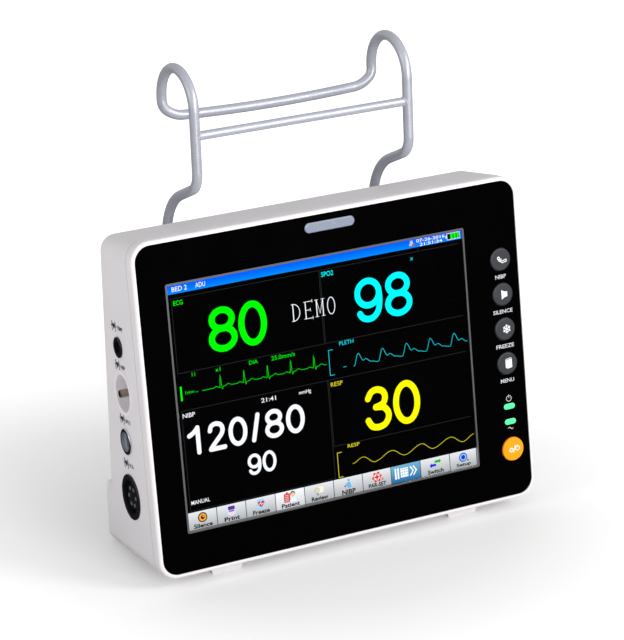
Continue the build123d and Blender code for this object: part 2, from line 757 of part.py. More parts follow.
with BuildPart() as usb_port:
    with BuildSketch(right_wall.offset(0.2)):
        with Locations(on_right(USB_AT)):
            Rectangle(6.0, 13.2)
    extrude(amount=-15)
    with BuildSketch(right_wall.offset(0.2)):
        with Locations(on_right(USB_AT)):
            Rectangle(5.0, 12.2)
        with Locations(on_right((USB_AT[0] + 1.2, USB_AT[1]))):
            Rectangle(1.8, 11.0, mode=Mode.SUBTRACT)
    extrude(amount=-9, mode=Mode.SUBTRACT)
keep("usb_port", usb_port.part, STEEL)

with BuildPart() as dc_inlet:
    with BuildSketch(right_wall):
        with Locations(on_right(DC_AT)):
            Circle(7.2)
    extrude(amount=0.9)
    with BuildSketch(right_wall):
        with Locations(on_right(DC_AT)):
            Circle(5.5)
    extrude(amount=-14)
    with BuildSketch(right_wall.offset(0.9)):
        with Locations(on_right(DC_AT)):
            Circle(3.2)
            Circle(1.0, mode=Mode.SUBTRACT)
    extrude(amount=-10.5, mode=Mode.SUBTRACT)
keep("dc_inlet", dc_inlet.part, BLACK)

# ---------------------------------------------------------------- back
with BuildPart() as ground_stud:
    with BuildSketch(back_wall):
        with Locations((-STUD_X, STUD_V)):
            RegularPolygon(6.4, 6)
    extrude(amount=3.0)
    with BuildSketch(back_wall.offset(3.0)):
        with Locations((-STUD_X, STUD_V)):
            Circle(STUD_R)
    extrude(amount=STUD_L - 3.0)
    chamfer(ground_stud.faces().sort_by(Axis.Y)[-1].edges(), length=0.5)
    with BuildSketch(back_wall):
        with Locations((-STUD_X, STUD_V)):
            Circle(STUD_R)
    extrude(amount=-7)
keep("ground_stud", ground_stud.part, BRASS)

with BuildPart() as rating_plate:
    with BuildSketch(back_wall.offset(-0.45)):
        with Locations((0, PLATE_V)):
            RectangleRounded(PLATE_W, PLATE_H, 2)
    extrude(amount=0.4)
keep("rating_plate", rating_plate.part, STEEL)

with BuildPart() as battery_door:
    with BuildSketch(back_wall.offset(BULGE_OUT - DOOR_T + 0.05)):
        with Locations((0, DOOR_V)):
            RectangleRounded(DOOR_W, DOOR_H, 2.9)
    extrude(amount=DOOR_T)
    with BuildSketch(back_wall.offset(BULGE_OUT + 1)):
        with Locations((0, DOOR_V)):
            with GridLocations(2 * DOOR_SCREW_X, 1, 2, 1):
                Circle(SCREW_R + 0.1)
    extrude(amount=-4, mode=Mode.SUBTRACT)
keep("battery_door", battery_door.part, WHITE)

with BuildPart() as battery_pack:
    with BuildSketch(back_wall.offset(BULGE_OUT - DOOR_T - 0.3)):
        with Locations((0, DOOR_V)):
            RectangleRounded(110, 15.4, 3)
    extrude(amount=-33)
keep("battery_pack", battery_pack.part, (0.1, 0.2, 0.5))

with BuildPart() as battery_bay:
    with BuildSketch(back_wall.offset(BULGE_OUT - WALL - 0.7)):
        with Locations((0, DOOR_V)):
            Rectangle(114, 19)
    extrude(amount=-34)
    with BuildSketch(back_wall.offset(BULGE_OUT - WALL - 0.7)):
        with Locations((0, DOOR_V)):
            Rectangle(111.4, 16.4)
    extrude(amount=-32.6, mode=Mode.SUBTRACT)
keep("battery_bay", battery_bay.part, BLACK)

with BuildPart() as speaker:
    with BuildSketch(back_wall.offset(-(WALL + 0.4))):
        with Locations((-SPEAKER_X, SPEAKER_V)):
            Circle(14)
    extrude(amount=-2)
    with BuildSketch(back_wall.offset(-(WALL + 2.4))):
        with Locations((-SPEAKER_X, SPEAKER_V)):
            Circle(12)
    extrude(amount=-5, taper=25)
    with BuildSketch(back_wall.offset(-(WALL + 7.4))):
        with Locations((-SPEAKER_X, SPEAKER_V)):
            Circle(8)
    extrude(amount=-4)
keep("speaker", speaker.part, BLACK)

# ---------------------------------------------------------------- case screws
case_screw_places = [(side * CASE_SCREW_X, z) for side in (-1, 1) for z in CASE_SCREW_Z]
chassis_screw_places = [(i * BOSS_X, CASE_MID_Z + j * BOSS_Z) for i in (-1, 1) for j in (-1, 1)]


def make_screws(places, seat_y, length, head_r, head_t):
    """Pan-head screws whose heads sit at one depth and whose shanks point forwards."""
    with BuildPart() as screws:
        with BuildSketch(behind(seat_y)):
            with Locations(*places):
                Circle(head_r)
        extrude(amount=-head_t)
        fillet(screws.faces().filter_by(Plane.XZ).group_by(Axis.Y)[-1].edges(), radius=0.6)
        with BuildSketch(behind(seat_y + head_t)):
            with Locations(*places):
                RegularPolygon(1.4, 6)
        extrude(amount=1.2, mode=Mode.SUBTRACT)
        with BuildSketch(behind(seat_y)):
            with Locations(*places):
                Circle(SCREW_R - 0.05)
        extrude(amount=length)
    return screws.part


keep("case_screws", make_screws(case_screw_places, SCREW_SEAT_Y, 9.2, 3.0, 2.2), STEEL)
keep("chassis_screws", make_screws(chassis_screw_places, CHASSIS_Y + CHASSIS_T, 6.4, 2.8, 2.0), STEEL)

# ---------------------------------------------------------------- inside
MAIN_BOARD = (25.0, 18.0, 94.0, 84.0)
SENSOR_BOARD = (-49.0, -14.0, 46.0, 88.0)
BOARD_Y = CHASSIS_Y + CHASSIS_T + 6.0


def board_corners(board):
    """Screw positions in the corners of a (centre x, centre z, width, height) board."""
    x, z, width, height = board
    return [(x + i * (width / 2 - 4), z + j * (height / 2 - 4)) for i in (-1, 1) for j in (-1, 1)]


standoff_places = board_corners(MAIN_BOARD) + board_corners(SENSOR_BOARD)

with BuildPart() as chassis_plate:
    with BuildSketch(behind(CHASSIS_Y)):
        with Locations((0, CASE_MID_Z)):
            RectangleRounded(204, 158, 6)
        with Locations(*case_screw_places, *chassis_screw_places):
            Circle(SCREW_R, mode=Mode.SUBTRACT)
        with Locations((88, -66)):
            RectangleRounded(14, 12, 2, mode=Mode.SUBTRACT)
    extrude(amount=-CHASSIS_T)
keep("chassis_plate", chassis_plate.part, STEEL)

with BuildPart() as board_standoffs:
    with BuildSketch(behind(CHASSIS_Y + CHASSIS_T)):
        with Locations(*standoff_places):
            RegularPolygon(2.9, 6)
    extrude(amount=-(BOARD_Y - CHASSIS_Y - CHASSIS_T))
    with BuildSketch(behind(BOARD_Y)):
        with Locations(*standoff_places):
            Circle(SCREW_R)
    extrude(amount=5.6, mode=Mode.SUBTRACT)
keep("board_standoffs", board_standoffs.part, BRASS)


def make_board(board):
    """A circuit board with a screw hole in each corner."""
    x, z, width, height = board
    with BuildPart() as plate:
        with BuildSketch(behind(BOARD_Y)):
            with Locations((x, z)):
                RectangleRounded(width, height, 2)
            with Locations(*board_corners(board)):
                Circle(SCREW_R + 0.1, mode=Mode.SUBTRACT)
        extrude(amount=-BOARD_T)
    return plate.part


keep("main_board", make_board(MAIN_BOARD), GREEN)
keep("sensor_board", make_board(SENSOR_BOARD), GREEN)
keep("board_screws", make_screws(standoff_places, BOARD_Y + BOARD_T, 6.6, 2.8, 2.0), STEEL)

# Centre, width, height and thickness of each large package on the boards
CHIPS = [
    (40, 30, 20, 20, 2.0), (12, 34, 14, 10, 1.6), (12, 20, 14, 10, 1.6), (46, 2, 12, 12, 2.0),
    (-6, 46, 10, 22, 7.0), (54, 50, 16, 8, 6.0), (-49, 12, 12, 12, 1.8), (-56, -40, 16, 10, 5.0),
]

with BuildPart() as board_packages:
    for chip_x, chip_z, chip_w, chip_h, chip_t in CHIPS:
        with BuildSketch(behind(BOARD_Y + BOARD_T)):
            with Locations((chip_x, chip_z)):
                Rectangle(chip_w, chip_h)
        extrude(amount=-chip_t)
keep("board_packages", board_packages.part, BLACK)

with BuildPart() as heat_sink:
    with BuildSketch(behind(BOARD_Y + BOARD_T + 2.0)):
        with Locations((40, 30)):
            Rectangle(28, 28)
    extrude(amount=-2)
    with BuildSketch(behind(BOARD_Y + BOARD_T + 4.0)):
        with Locations((40, 30)):
            with GridLocations(3.4, 1, 8, 1):
                Rectangle(1.2, 28)
    extrude(amount=-7)
keep("heat_sink", heat_sink.part, BLACK)

with BuildPart() as sensor_shield:
    with BuildSketch(behind(BOARD_Y + BOARD_T)):
        with Locations((-49, -14)):
            RectangleRounded(34, 26, 1)
    extrude(amount=-5)
keep("sensor_shield", sensor_shield.part, STEEL)

PUMP_X = (6.0, 54.0)
PUMP_Y = 33.0
PUMP_Z = -38.5
PUMP_R = 11.5

with BuildPart() as nibp_pump:
    with BuildSketch(Plane.YZ.offset(PUMP_X[0])):
        with Locations((PUMP_Y, PUMP_Z)):
            Circle(PUMP_R)
    extrude(amount=30)
    with BuildSketch(Plane.YZ.offset(PUMP_X[0] + 30)):
        with Locations((PUMP_Y, PUMP_Z)):
            RectangleRounded(21, 21, 3)
    extrude(amount=PUMP_X[1] - PUMP_X[0] - 30)
keep("nibp_pump", nibp_pump.part, STEEL)

with BuildPart() as pump_saddle:
    with BuildSketch(Plane.YZ.offset(PUMP_X[0] + 6)):
        with Locations((CHASSIS_Y + CHASSIS_T + 7.5, PUMP_Z)):
            Rectangle(15, 20)
        with Locations((PUMP_Y, PUMP_Z)):
            Circle(PUMP_R + 0.1, mode=Mode.SUBTRACT)
    extrude(amount=18)
keep("pump_saddle", pump_saddle.part, BLACK)

with BuildPart() as nibp_valve:
    with BuildSketch(behind(CHASSIS_Y + CHASSIS_T)):
        with Locations((-12, PUMP_Z)):
            Rectangle(16, 20)
    extrude(amount=-18)
    with BuildSketch(Plane.YZ.offset(-20)):
        with Locations((30, PUMP_Z)):
            Circle(2.2)
    extrude(amount=-6)
keep("nibp_valve", nibp_valve.part, BLACK)

# ---------------------------------------------------------------- hook
JOG_RISE = 17.6             # degrees, slope of the leg where it comes forwards over the case
LEG_TILT = 5.0              # degrees, the upright part leans forwards
JOG_Z = 101.0
JOG_BENDS = (30.0, 10.0)
PIVOT_BEND_R = 5.5
PIN_END_X = BLOCK_X[0] - 3.0
CLIP_X = BLOCK_X[0] - 1.5
half = sin(radians(45))
curl_start = (CURL_Y - CURL_R * cos(radians(LEG_TILT)), CURL_Z - CURL_R * sin(radians(LEG_TILT)))
jog_front = (curl_start[0] + (curl_start[1] - JOG_Z) * tan(radians(LEG_TILT)), JOG_Z)
jog_back = (PIVOT_Y, JOG_Z - (PIVOT_Y - jog_front[0]) * tan(radians(JOG_RISE)))
bar_y = CURL_Y + CURL_R
pin_corner_x = LEG_X - PIVOT_BEND_R
leg_foot_z = PIVOT_Z + PIVOT_BEND_R
crossbar_y = curl_start[0] + (curl_start[1] - CROSSBAR_Z) * tan(radians(LEG_TILT))



def bar_bend(start, radius, turn, end_turn):
    """Point half way along a bend of the rear bar and its end, as X and Z."""
    points = []
    for angle in ((turn + end_turn) / 2, end_turn):
        x = start[0] - radius * (cos(radians(turn)) - cos(radians(angle)))
        z = start[1] - radius * (sin(radians(angle)) - sin(radians(turn)))
        points.append((x, z))
    return points


with BuildPart() as hook_frame:
    with BuildLine() as wire:
        Line((PIN_END_X, PIVOT_Y, PIVOT_Z), (pin_corner_x, PIVOT_Y, PIVOT_Z))
        ThreePointArc(
            (pin_corner_x, PIVOT_Y, PIVOT_Z),
            (pin_corner_x + PIVOT_BEND_R * half, PIVOT_Y, leg_foot_z - PIVOT_BEND_R * half),
            (LEG_X, PIVOT_Y, leg_foot_z),
        )
        FilletPolyline(
            (LEG_X, PIVOT_Y, leg_foot_z), (LEG_X, *jog_back), (LEG_X, *jog_front), (LEG_X, *curl_start),
            radius=JOG_BENDS,
        )
        ThreePointArc((LEG_X, *curl_start), (LEG_X, CURL_Y, CURL_Z + CURL_R), (LEG_X, bar_y, CURL_Z))
        here = (LEG_X, CURL_Z)
        for radius, turn, end_turn in BAR_BENDS:
            middle, end = bar_bend(here, radius, turn, end_turn)
            ThreePointArc((here[0], bar_y, here[1]), (middle[0], bar_y, middle[1]), (end[0], bar_y, end[1]))
            here = end
        bow_radius = here[0] / cos(radians(BAR_BOW))
        middle, end = bar_bend(here, bow_radius, BAR_BOW, 90.0)
        ThreePointArc((here[0], bar_y, here[1]), (middle[0], bar_y, middle[1]), (0, bar_y, end[1]))
    with BuildSketch(Plane.YZ.offset(PIN_END_X)):
        with Locations((PIVOT_Y, PIVOT_Z)):
            Circle(WIRE_R)
    sweep(path=wire.line)
    # Groove for the retaining clip
    with BuildSketch(Plane.YZ.offset(CLIP_X - 0.45)):
        with Locations((PIVOT_Y, PIVOT_Z)):
            Circle(WIRE_R + 1)
            Circle(WIRE_R - 0.6, mode=Mode.SUBTRACT)
    extrude(amount=0.9, mode=Mode.SUBTRACT)
    mirror(about=Plane.YZ)
keep("hook_frame", hook_frame.part, STEEL)

# Plane square to the upright legs
leg_section = Plane(
    origin=(0, *jog_front),
    x_dir=(1, 0, 0),
    z_dir=(0, -sin(radians(LEG_TILT)), cos(radians(LEG_TILT))),
)

with BuildPart() as hook_crossbar:
    with BuildSketch(Plane.YZ):
        with Locations((crossbar_y, CROSSBAR_Z)):
            Circle(CROSSBAR_R)
    extrude(amount=LEG_X, both=True)
    # Coped ends that sit against the legs
    with BuildSketch(leg_section):
        with Locations((LEG_X, 0), (-LEG_X, 0)):
            Circle(WIRE_R + 0.02)
    extrude(amount=60, mode=Mode.SUBTRACT)
keep("hook_crossbar", hook_crossbar.part, STEEL)

STOP_Y = (PIVOT_Y - 2.4, PIVOT_Y + 2.4)
STOP_Z = (PIVOT_Z + 8.0, PIVOT_Z + 12.0)

with BuildPart() as hook_stops:
    with BuildSketch(Plane.YZ.offset(BLOCK_X[1] - 4.5)):
        with Locations(((STOP_Y[0] + STOP_Y[1]) / 2, (STOP_Z[0] + STOP_Z[1]) / 2)):
            RectangleRounded(STOP_Y[1] - STOP_Y[0], STOP_Z[1] - STOP_Z[0], 0.6)
    extrude(amount=LEG_X - BLOCK_X[1] + 4.5)
    with BuildSketch(Plane.XY.offset(PIVOT_Z)):
        with Locations((LEG_X, PIVOT_Y)):
            Circle(WIRE_R + 0.03)
    extrude(amount=30, mode=Mode.SUBTRACT)
    mirror(about=Plane.YZ)
keep("hook_stops", hook_stops.part, STEEL)

with BuildPart() as hook_washers:
    with BuildSketch(Plane.YZ.offset(BLOCK_X[1] + 0.1)):
        with Locations((PIVOT_Y, PIVOT_Z)):
            Circle(5)
            Circle(WIRE_R + BORE_GAP, mode=Mode.SUBTRACT)
    extrude(amount=1.2)
    mirror(about=Plane.YZ)
keep("hook_washers", hook_washers.part, BLACK)

with BuildPart() as hook_clips:
    with BuildSketch(Plane.YZ.offset(CLIP_X - 0.4)):
        with Locations((PIVOT_Y, PIVOT_Z)):
            Circle(4.4)
            Circle(WIRE_R - 0.57, mode=Mode.SUBTRACT)
        with Locations((PIVOT_Y, PIVOT_Z - 3)):
            Rectangle(3.2, 4, mode=Mode.SUBTRACT)
    extrude(amount=0.8)
    mirror(about=Plane.YZ)
keep("hook_clips", hook_clips.part, STEEL)


def make_hinge_block(side):
    """A bracket on the back wall with a bored hub for the hook's pivot and an ear that stops it."""
    with BuildPart() as block:
        with BuildSketch(Plane.YZ.offset(min(side * BLOCK_X[0], side * BLOCK_X[1]))):
            with BuildLine():
                Polyline(
                    (back_y(38), 38), (back_y(72), 72), (back_y(72, 4), 72), (54, 69), (STOP_Y[0] - 0.05, 68.6),
                    (STOP_Y[0] - 0.05, PIVOT_Z), (PIVOT_Y, PIVOT_Z - HUB_R), (57, 46), (back_y(38, 4), 38),
                    close=True,
                )
            make_face()
            with Locations((PIVOT_Y, PIVOT_Z)):
                Circle(HUB_R)
        extrude(amount=BLOCK_X[1] - BLOCK_X[0])
        with BuildSketch(Plane.YZ):
            with Locations((PIVOT_Y, PIVOT_Z)):
                Circle(WIRE_R + BORE_GAP)
        extrude(amount=CASE_W / 2, both=True, mode=Mode.SUBTRACT)
        for hole_r, level in ((3.3, 4.0), (SCREW_R + 0.1, 0.0)):
            with BuildSketch(back_wall.offset(level)):
                with Locations(*HINGE_SCREWS):
                    Circle(hole_r)
            extrude(amount=30, mode=Mode.SUBTRACT)
    return block.part


keep("hinge_block_left", make_hinge_block(-1), GREY)
keep("hinge_block_right", make_hinge_block(1), GREY)

with BuildPart() as back_screws:
    # Hinge block screws and battery door screws
    for screws, level in ((HINGE_SCREWS, 4.0), (DOOR_SCREWS, BULGE_OUT + 0.1)):
        with BuildSketch(back_wall.offset(level)):
            with Locations(*screws):
                Circle(2.9)
                RegularPolygon(1.4, 6, mode=Mode.SUBTRACT)
        extrude(amount=2.2)
        with BuildSketch(back_wall.offset(level)):
            with Locations(*screws):
                Circle(2.9)
        extrude(amount=1.0)
        with BuildSketch(back_wall.offset(level)):
            with Locations(*screws):
                Circle(SCREW_R - 0.05)
        extrude(amount=-8)
keep("back_screws", back_screws.part, STEEL)

# ---------------------------------------------------------------- stand and write
# The origin is the middle of the footprint of the whole leaned-back monitor, on the table.
leaned = {name: piece.rotate(Axis.X, -LEAN) for name, piece in pieces.items()}
boxes = [piece.bounding_box() for piece in leaned.values()]
low = [min(getattr(box.min, axis) for box in boxes) for axis in "XYZ"]
high = [max(getattr(box.max, axis) for box in boxes) for axis in "XYZ"]
footprint_middle = Location((-(low[0] + high[0]) / 2, -(low[1] + high[1]) / 2, -low[2]))
STAND = footprint_middle * Location((0, 0, 0), (-LEAN, 0, 0))

os.makedirs("parts", exist_ok=True)
for name, piece in pieces.items():
    standing = piece.moved(STAND)
    standing.label = name
    export_step(standing, f"parts/{name}.step")
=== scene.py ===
import json
from math import cos, exp, hypot, pi, sin

import bmesh
import bpy
from mathutils import Matrix, Vector
from mathutils.bvhtree import BVHTree


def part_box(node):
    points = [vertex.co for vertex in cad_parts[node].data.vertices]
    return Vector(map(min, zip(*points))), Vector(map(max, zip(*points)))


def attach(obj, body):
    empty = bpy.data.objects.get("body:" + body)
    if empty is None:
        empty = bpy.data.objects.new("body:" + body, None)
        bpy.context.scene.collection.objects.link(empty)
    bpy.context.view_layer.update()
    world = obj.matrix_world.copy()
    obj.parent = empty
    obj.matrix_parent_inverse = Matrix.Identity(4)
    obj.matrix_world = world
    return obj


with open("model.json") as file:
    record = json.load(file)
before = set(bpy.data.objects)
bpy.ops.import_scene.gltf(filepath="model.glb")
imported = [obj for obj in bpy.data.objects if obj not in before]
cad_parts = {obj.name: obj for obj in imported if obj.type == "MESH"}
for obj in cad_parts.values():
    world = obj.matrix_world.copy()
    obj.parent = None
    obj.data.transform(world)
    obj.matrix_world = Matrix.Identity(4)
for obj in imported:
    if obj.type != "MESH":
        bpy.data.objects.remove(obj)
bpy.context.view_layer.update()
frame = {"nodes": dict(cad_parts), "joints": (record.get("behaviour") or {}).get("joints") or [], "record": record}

MM = 0.001
nodes = frame["nodes"]
joints = {j["name"]: j for j in frame["joints"]}
mounts = {m["name"]: m for m in frame["record"]["mounts"]}

# The keys slide straight into the case, so their axis gives the lean of the front
RIGHT = Vector((1, 0, 0))
OUT = -Vector(joints["key_nibp_press"]["axis"]).normalized()
UP = OUT.cross(RIGHT)


# ------------------------------------------------------------------ colours
def linear(value):
    """One 0-255 screen value as a linear one."""
    value /= 255
    return value / 12.92 if value <= 0.04045 else ((value + 0.055) / 1.055) ** 2.4


def rgb(red, green, blue):
    return (linear(red), linear(green), linear(blue), 1.0)


# ------------------------------------------------------------------ materials
class Shader:
    """A node material built around one Principled shader, with textures in object space."""

    def __init__(self, name, **sockets):
        self.material = bpy.data.materials.new(name)
        self.material.use_nodes = True
        self.tree = self.material.node_tree
        self.shader = self.tree.nodes["Principled BSDF"]
        self.coords = self.tree.nodes.new("ShaderNodeTexCoord").outputs["Object"]
        for socket, value in sockets.items():
            self.shader.inputs[socket.replace("_", " ")].default_value = value

    def add(self, kind, **values):
        node = self.tree.nodes.new(kind)
        for key, value in values.items():
            setattr(node, key, value)
        return node

    def link(self, source, target):
        self.tree.links.new(source, target)

    def noise(self, size_mm, detail=3.0, rough=0.5, stretch=(1, 1, 1)):
        """Noise whose lumps are about size_mm wide; stretch lengthens them along an axis."""
        mapping = self.add("ShaderNodeMapping")
        mapping.inputs["Scale"].default_value = [1 / s for s in stretch]
        self.link(self.coords, mapping.inputs["Vector"])
        node = self.add("ShaderNodeTexNoise")
        node.inputs["Scale"].default_value = 1 / (size_mm * MM)
        node.inputs["Detail"].default_value = detail
        node.inputs["Roughness"].default_value = rough
        self.link(mapping.outputs["Vector"], node.inputs["Vector"])
        return node.outputs["Fac"]

    def spread(self, source, low, high, start=0.3, end=0.7):
        """Maps the middle of a texture to the range low..high."""
        node = self.add("ShaderNodeMapRange")
        for socket, value in (("From Min", start), ("From Max", end), ("To Min", low), ("To Max", high)):
            node.inputs[socket].default_value = value
        self.link(source, node.inputs["Value"])
        return node.outputs["Result"]

    def blend(self, factor, colour_a, colour_b, socket="Base Color"):
        """Mixes two colours by a texture, into a colour socket."""
        node = self.add("ShaderNodeMix", data_type="RGBA")
        self.link(factor, node.inputs["Factor"])
        node.inputs["A"].default_value = colour_a
        node.inputs["B"].default_value = colour_b
        self.link(node.outputs["Result"], self.shader.inputs[socket])

    def roughness(self, source, low, high):
        self.link(self.spread(source, low, high), self.shader.inputs["Roughness"])

    def bump(self, source, depth_mm, strength=1.0):
        """Adds a bump on top of those already there."""
        node = self.add("ShaderNodeBump")
        node.inputs["Strength"].default_value = strength
        node.inputs["Distance"].default_value = depth_mm * MM
        self.link(source, node.inputs["Height"])
        normal = self.shader.inputs["Normal"]
        if normal.links:
            self.link(normal.links[0].from_socket, node.inputs["Normal"])
        self.link(node.outputs["Normal"], normal)


def shaded(colour, factor):
    return tuple(channel * factor for channel in colour[:3]) + (1.0,)


def moulded(name, colour, rough, grain_mm=0.35, grain_depth=0.02, tone=0.05, **sockets):
    """Moulded plastic or rubber: spark-eroded grain, faint flow marks and handling wear."""
    s = Shader(name, **sockets)
    s.blend(s.noise(38, 4), shaded(colour, 1 - tone), colour)
    s.roughness(s.noise(9, 5), rough - 0.06, rough + 0.06)
    s.bump(s.noise(grain_mm, 2, 0.6), grain_depth)
    s.bump(s.noise(22, 2), 0.03, 0.4)
    return s.material


def metal(name, colour, rough, streak=(1, 1, 1), depth=0.006, tone=0.12, **sockets):
    """Bare or plated metal with drawing marks and a slightly uneven polish."""
    s = Shader(name, Metallic=1.0, **sockets)
    s.blend(s.noise(6, 5), shaded(colour, 1 - tone), colour)
    s.roughness(s.noise(1.6, 4, 0.6, streak), rough - 0.05, rough + 0.08)
    s.bump(s.noise(0.5, 3, 0.6, streak), depth)
    return s.material


def paint(name, colour, rough):
    """Silver paint with metal flake, orange peel and rubbed patches."""
    s = Shader(name, Metallic=0.4, Coat_Weight=0.3, Coat_Roughness=0.2)
    s.blend(s.spread(s.noise(0.35, 1), 0, 1), shaded(colour, 0.74), colour)
    s.roughness(s.noise(5, 5), rough - 0.05, rough + 0.09)
    s.bump(s.noise(1.1, 2), 0.012)
    s.bump(s.noise(0.12, 1), 0.002)
    return s.material


def board(name, colour):
    """Solder mask with the copper tracks showing through as a faint relief."""
    s = Shader(name, Coat_Weight=0.4, Coat_Roughness=0.2)
    brick = s.add("ShaderNodeTexBrick")
    brick.inputs["Scale"].default_value = 1 / (2.2 * MM)
    brick.inputs["Mortar Size"].default_value = 0.08
    s.link(s.coords, brick.inputs["Vector"])
    s.blend(brick.outputs["Fac"], colour, shaded(colour, 1.8))
    s.roughness(s.noise(3), 0.35, 0.5)
    s.bump(brick.outputs["Fac"], 0.03)
    return s.material


def glossy_sheet(name, colour, rough, level):
    """A smooth back-painted sheet with a few finger smears."""
    s = Shader(name, Base_Color=colour, Specular_IOR_Level=level)
    s.roughness(s.noise(16, 6, 0.6), rough, rough + 0.09)
    s.bump(s.noise(45, 2), 0.01, 0.3)
    return s.material


def clear(name, colour, rough):
    """Clear cover glass with a faint smear."""
    s = Shader(name, Base_Color=colour, Transmission_Weight=1.0, IOR=1.33, Specular_IOR_Level=0.2)
    s.roughness(s.noise(20, 6), rough, rough + 0.004)
    return s.material


def lens(name, colour, glow, strength):
    """A tinted light guide that glows as if lit from behind, with the prisms of its back face; on a lens whose
    lamp is off this glow is painted light.
    """
    s = Shader(name, Emission_Strength=strength, Coat_Weight=0.6, Coat_Roughness=0.06)
    wave = s.add("ShaderNodeTexWave", wave_type="BANDS", bands_direction="X")
    wave.inputs["Scale"].default_value = 1 / (2.4 * MM)
    s.link(s.coords, wave.inputs["Vector"])
    s.blend(wave.outputs["Fac"], shaded(colour, 0.9), colour)
    s.blend(s.noise(4), shaded(glow, 0.8), glow, "Emission Color")
    s.roughness(s.noise(3), 0.16, 0.28)
    s.bump(wave.outputs["Fac"], 0.01, 0.4)
    return s.material


PIXEL_MM = 0.203
PICTURE_STRENGTH = 1.2      # makes up for what the glass in front takes away
BLACK_LEVEL = rgb(0.5, 0.5, 1)


def lit_ink(name):
    """Pixels of the screen: colour from the drawing, broken up by the pixel rows."""
    s = Shader(
        name, Base_Color=(0, 0, 0, 1), Emission_Strength=PICTURE_STRENGTH,
        Roughness=0.4, Specular_IOR_Level=0.0,
    )
    ink = s.add("ShaderNodeVertexColor", layer_name="ink").outputs["Color"]
    rows = s.add("ShaderNodeTexWave", wave_type="BANDS", bands_direction="Z")
    rows.inputs["Scale"].default_value = 1 / (PIXEL_MM * MM * 2 * pi / 10)
    s.link(s.coords, rows.inputs["Vector"])
    mix = s.add("ShaderNodeMix", data_type="RGBA", blend_type="MULTIPLY")
    mix.inputs["Factor"].default_value = 1.0
    s.link(ink, mix.inputs["A"])
    s.link(s.spread(rows.outputs["Fac"], 0.94, 1.0, 0, 1), mix.inputs["B"])
    s.link(mix.outputs["Result"], s.shader.inputs["Emission Color"])
    return s.material


def printed_ink(name, rough=0.45):
    """Screen-printed ink: colour from the drawing, a little worn."""
    s = Shader(name)
    ink = s.add("ShaderNodeVertexColor", layer_name="ink").outputs["Color"]
    mix = s.add("ShaderNodeMix", data_type="RGBA", blend_type="MULTIPLY")
    mix.inputs["Factor"].default_value = 1.0
    s.link(ink, mix.inputs["A"])
    s.link(s.spread(s.noise(0.5, 3), 0.9, 1.0), mix.inputs["B"])
    s.link(mix.outputs["Result"], s.shader.inputs["Base Color"])
    s.roughness(s.noise(2), rough - 0.06, rough + 0.06)
    s.bump(s.noise(0.2, 2), 0.004)
    return s.material


def screen_black(name):
    """The unlit cell: near black, with a faint glow of the backlight."""
    s = Shader(name, Emission_Strength=1.0, Specular_IOR_Level=0.02)
    s.blend(s.noise(60), rgb(1, 1, 1), rgb(2, 2, 3))
    s.blend(s.noise(50), shaded(BLACK_LEVEL, 0.7), BLACK_LEVEL, "Emission Color")
    s.roughness(s.noise(10), 0.06, 0.1)
    return s.material


CASE_TONE = rgb(216, 212, 215)
FINISHES = {
    "case_white": moulded("case_white", CASE_TONE, 0.46, 0.45, 0.018, 0.03),
    "panel_black": glossy_sheet("panel_black", rgb(2, 2, 2), 0.05, 0.04),
    "trim_grey": moulded("trim_grey", rgb(72, 70, 72), 0.38, 0.3, 0.008),
    "clear_glass": clear("clear_glass", rgb(250, 252, 255), 0.0),
    "display": screen_black("display"),
    "diffuser": moulded("diffuser", rgb(240, 240, 236), 0.5),
    "steel": metal("steel", rgb(190, 192, 195), 0.3),
    "aluminium": metal("aluminium", rgb(214, 216, 219), 0.36, streak=(12, 1, 1)),
    "key_slate": moulded("key_slate", rgb(32, 35, 41), 0.42, 0.25, 0.008),
    "key_orange": moulded("key_orange", rgb(255, 146, 0), 0.38, 0.25, 0.008, Specular_IOR_Level=0.15),
    "lens_green": lens("lens_green", rgb(70, 205, 130), rgb(80, 230, 150), 0.55),
    # The pale lens's lamp is off: its faint glow is painted light
    "lens_pale": lens("lens_pale", rgb(124, 133, 149), rgb(190, 200, 225), 0.02),
    "board_green": board("board_green", rgb(18, 84, 48)),
    "black_plastic": moulded("black_plastic", rgb(22, 22, 24), 0.28, 0.3, 0.01),
    "gasket_grey": moulded("gasket_grey", rgb(214, 210, 213), 0.7, 0.2, 0.02),
    "pad_rubber": moulded("pad_rubber", rgb(78, 78, 82), 0.78, 0.25, 0.03),
    "chrome": metal("chrome", rgb(214, 215, 220), 0.16, depth=0.002, tone=0.04),
    "socket_blue": moulded("socket_blue", rgb(116, 122, 137), 0.34, 0.2, 0.01),
    "brass": metal("brass", rgb(226, 190, 120), 0.24),
    "hook_paint": paint("hook_paint", rgb(186, 188, 199), 0.4),
    "hinge_paint": paint("hinge_paint", rgb(168, 170, 174), 0.38),
    "battery_wrap": moulded("battery_wrap", rgb(40, 66, 120), 0.3, 1.5, 0.05),
    "label_silver": paint("label_silver", rgb(208, 210, 213), 0.36),
    "speaker_black": moulded("speaker_black", rgb(28, 28, 30), 0.8, 0.5, 0.05),
}
LIT = lit_ink("screen_pixels")
PRINTED = printed_ink("printed_ink")

# Pieces whose finish differs a little from the rest of their slot
OWN_FINISHES = {
    "nibp_nozzle": metal("warm_nickel", rgb(176, 162, 148), 0.17, depth=0.002, tone=0.1),
    "ecg_pins": moulded("contact_tin", rgb(150, 150, 154), 0.34, 0.3, 0.008, Metallic=0.5),
    # The dish is a little lighter than the case: painted light that offsets the shade inside its recess
    "nibp_dish": moulded("dish_lightened_against_shade", rgb(223, 219, 222), 0.4, 0.45, 0.012, 0.03),
}

for part in frame["record"]["subparts"]:
    mesh = nodes[part["node"]].data
    mesh.materials.clear()
    mesh.materials.append(OWN_FINISHES.get(part["node"]) or FINISHES[part["material_slot"]])


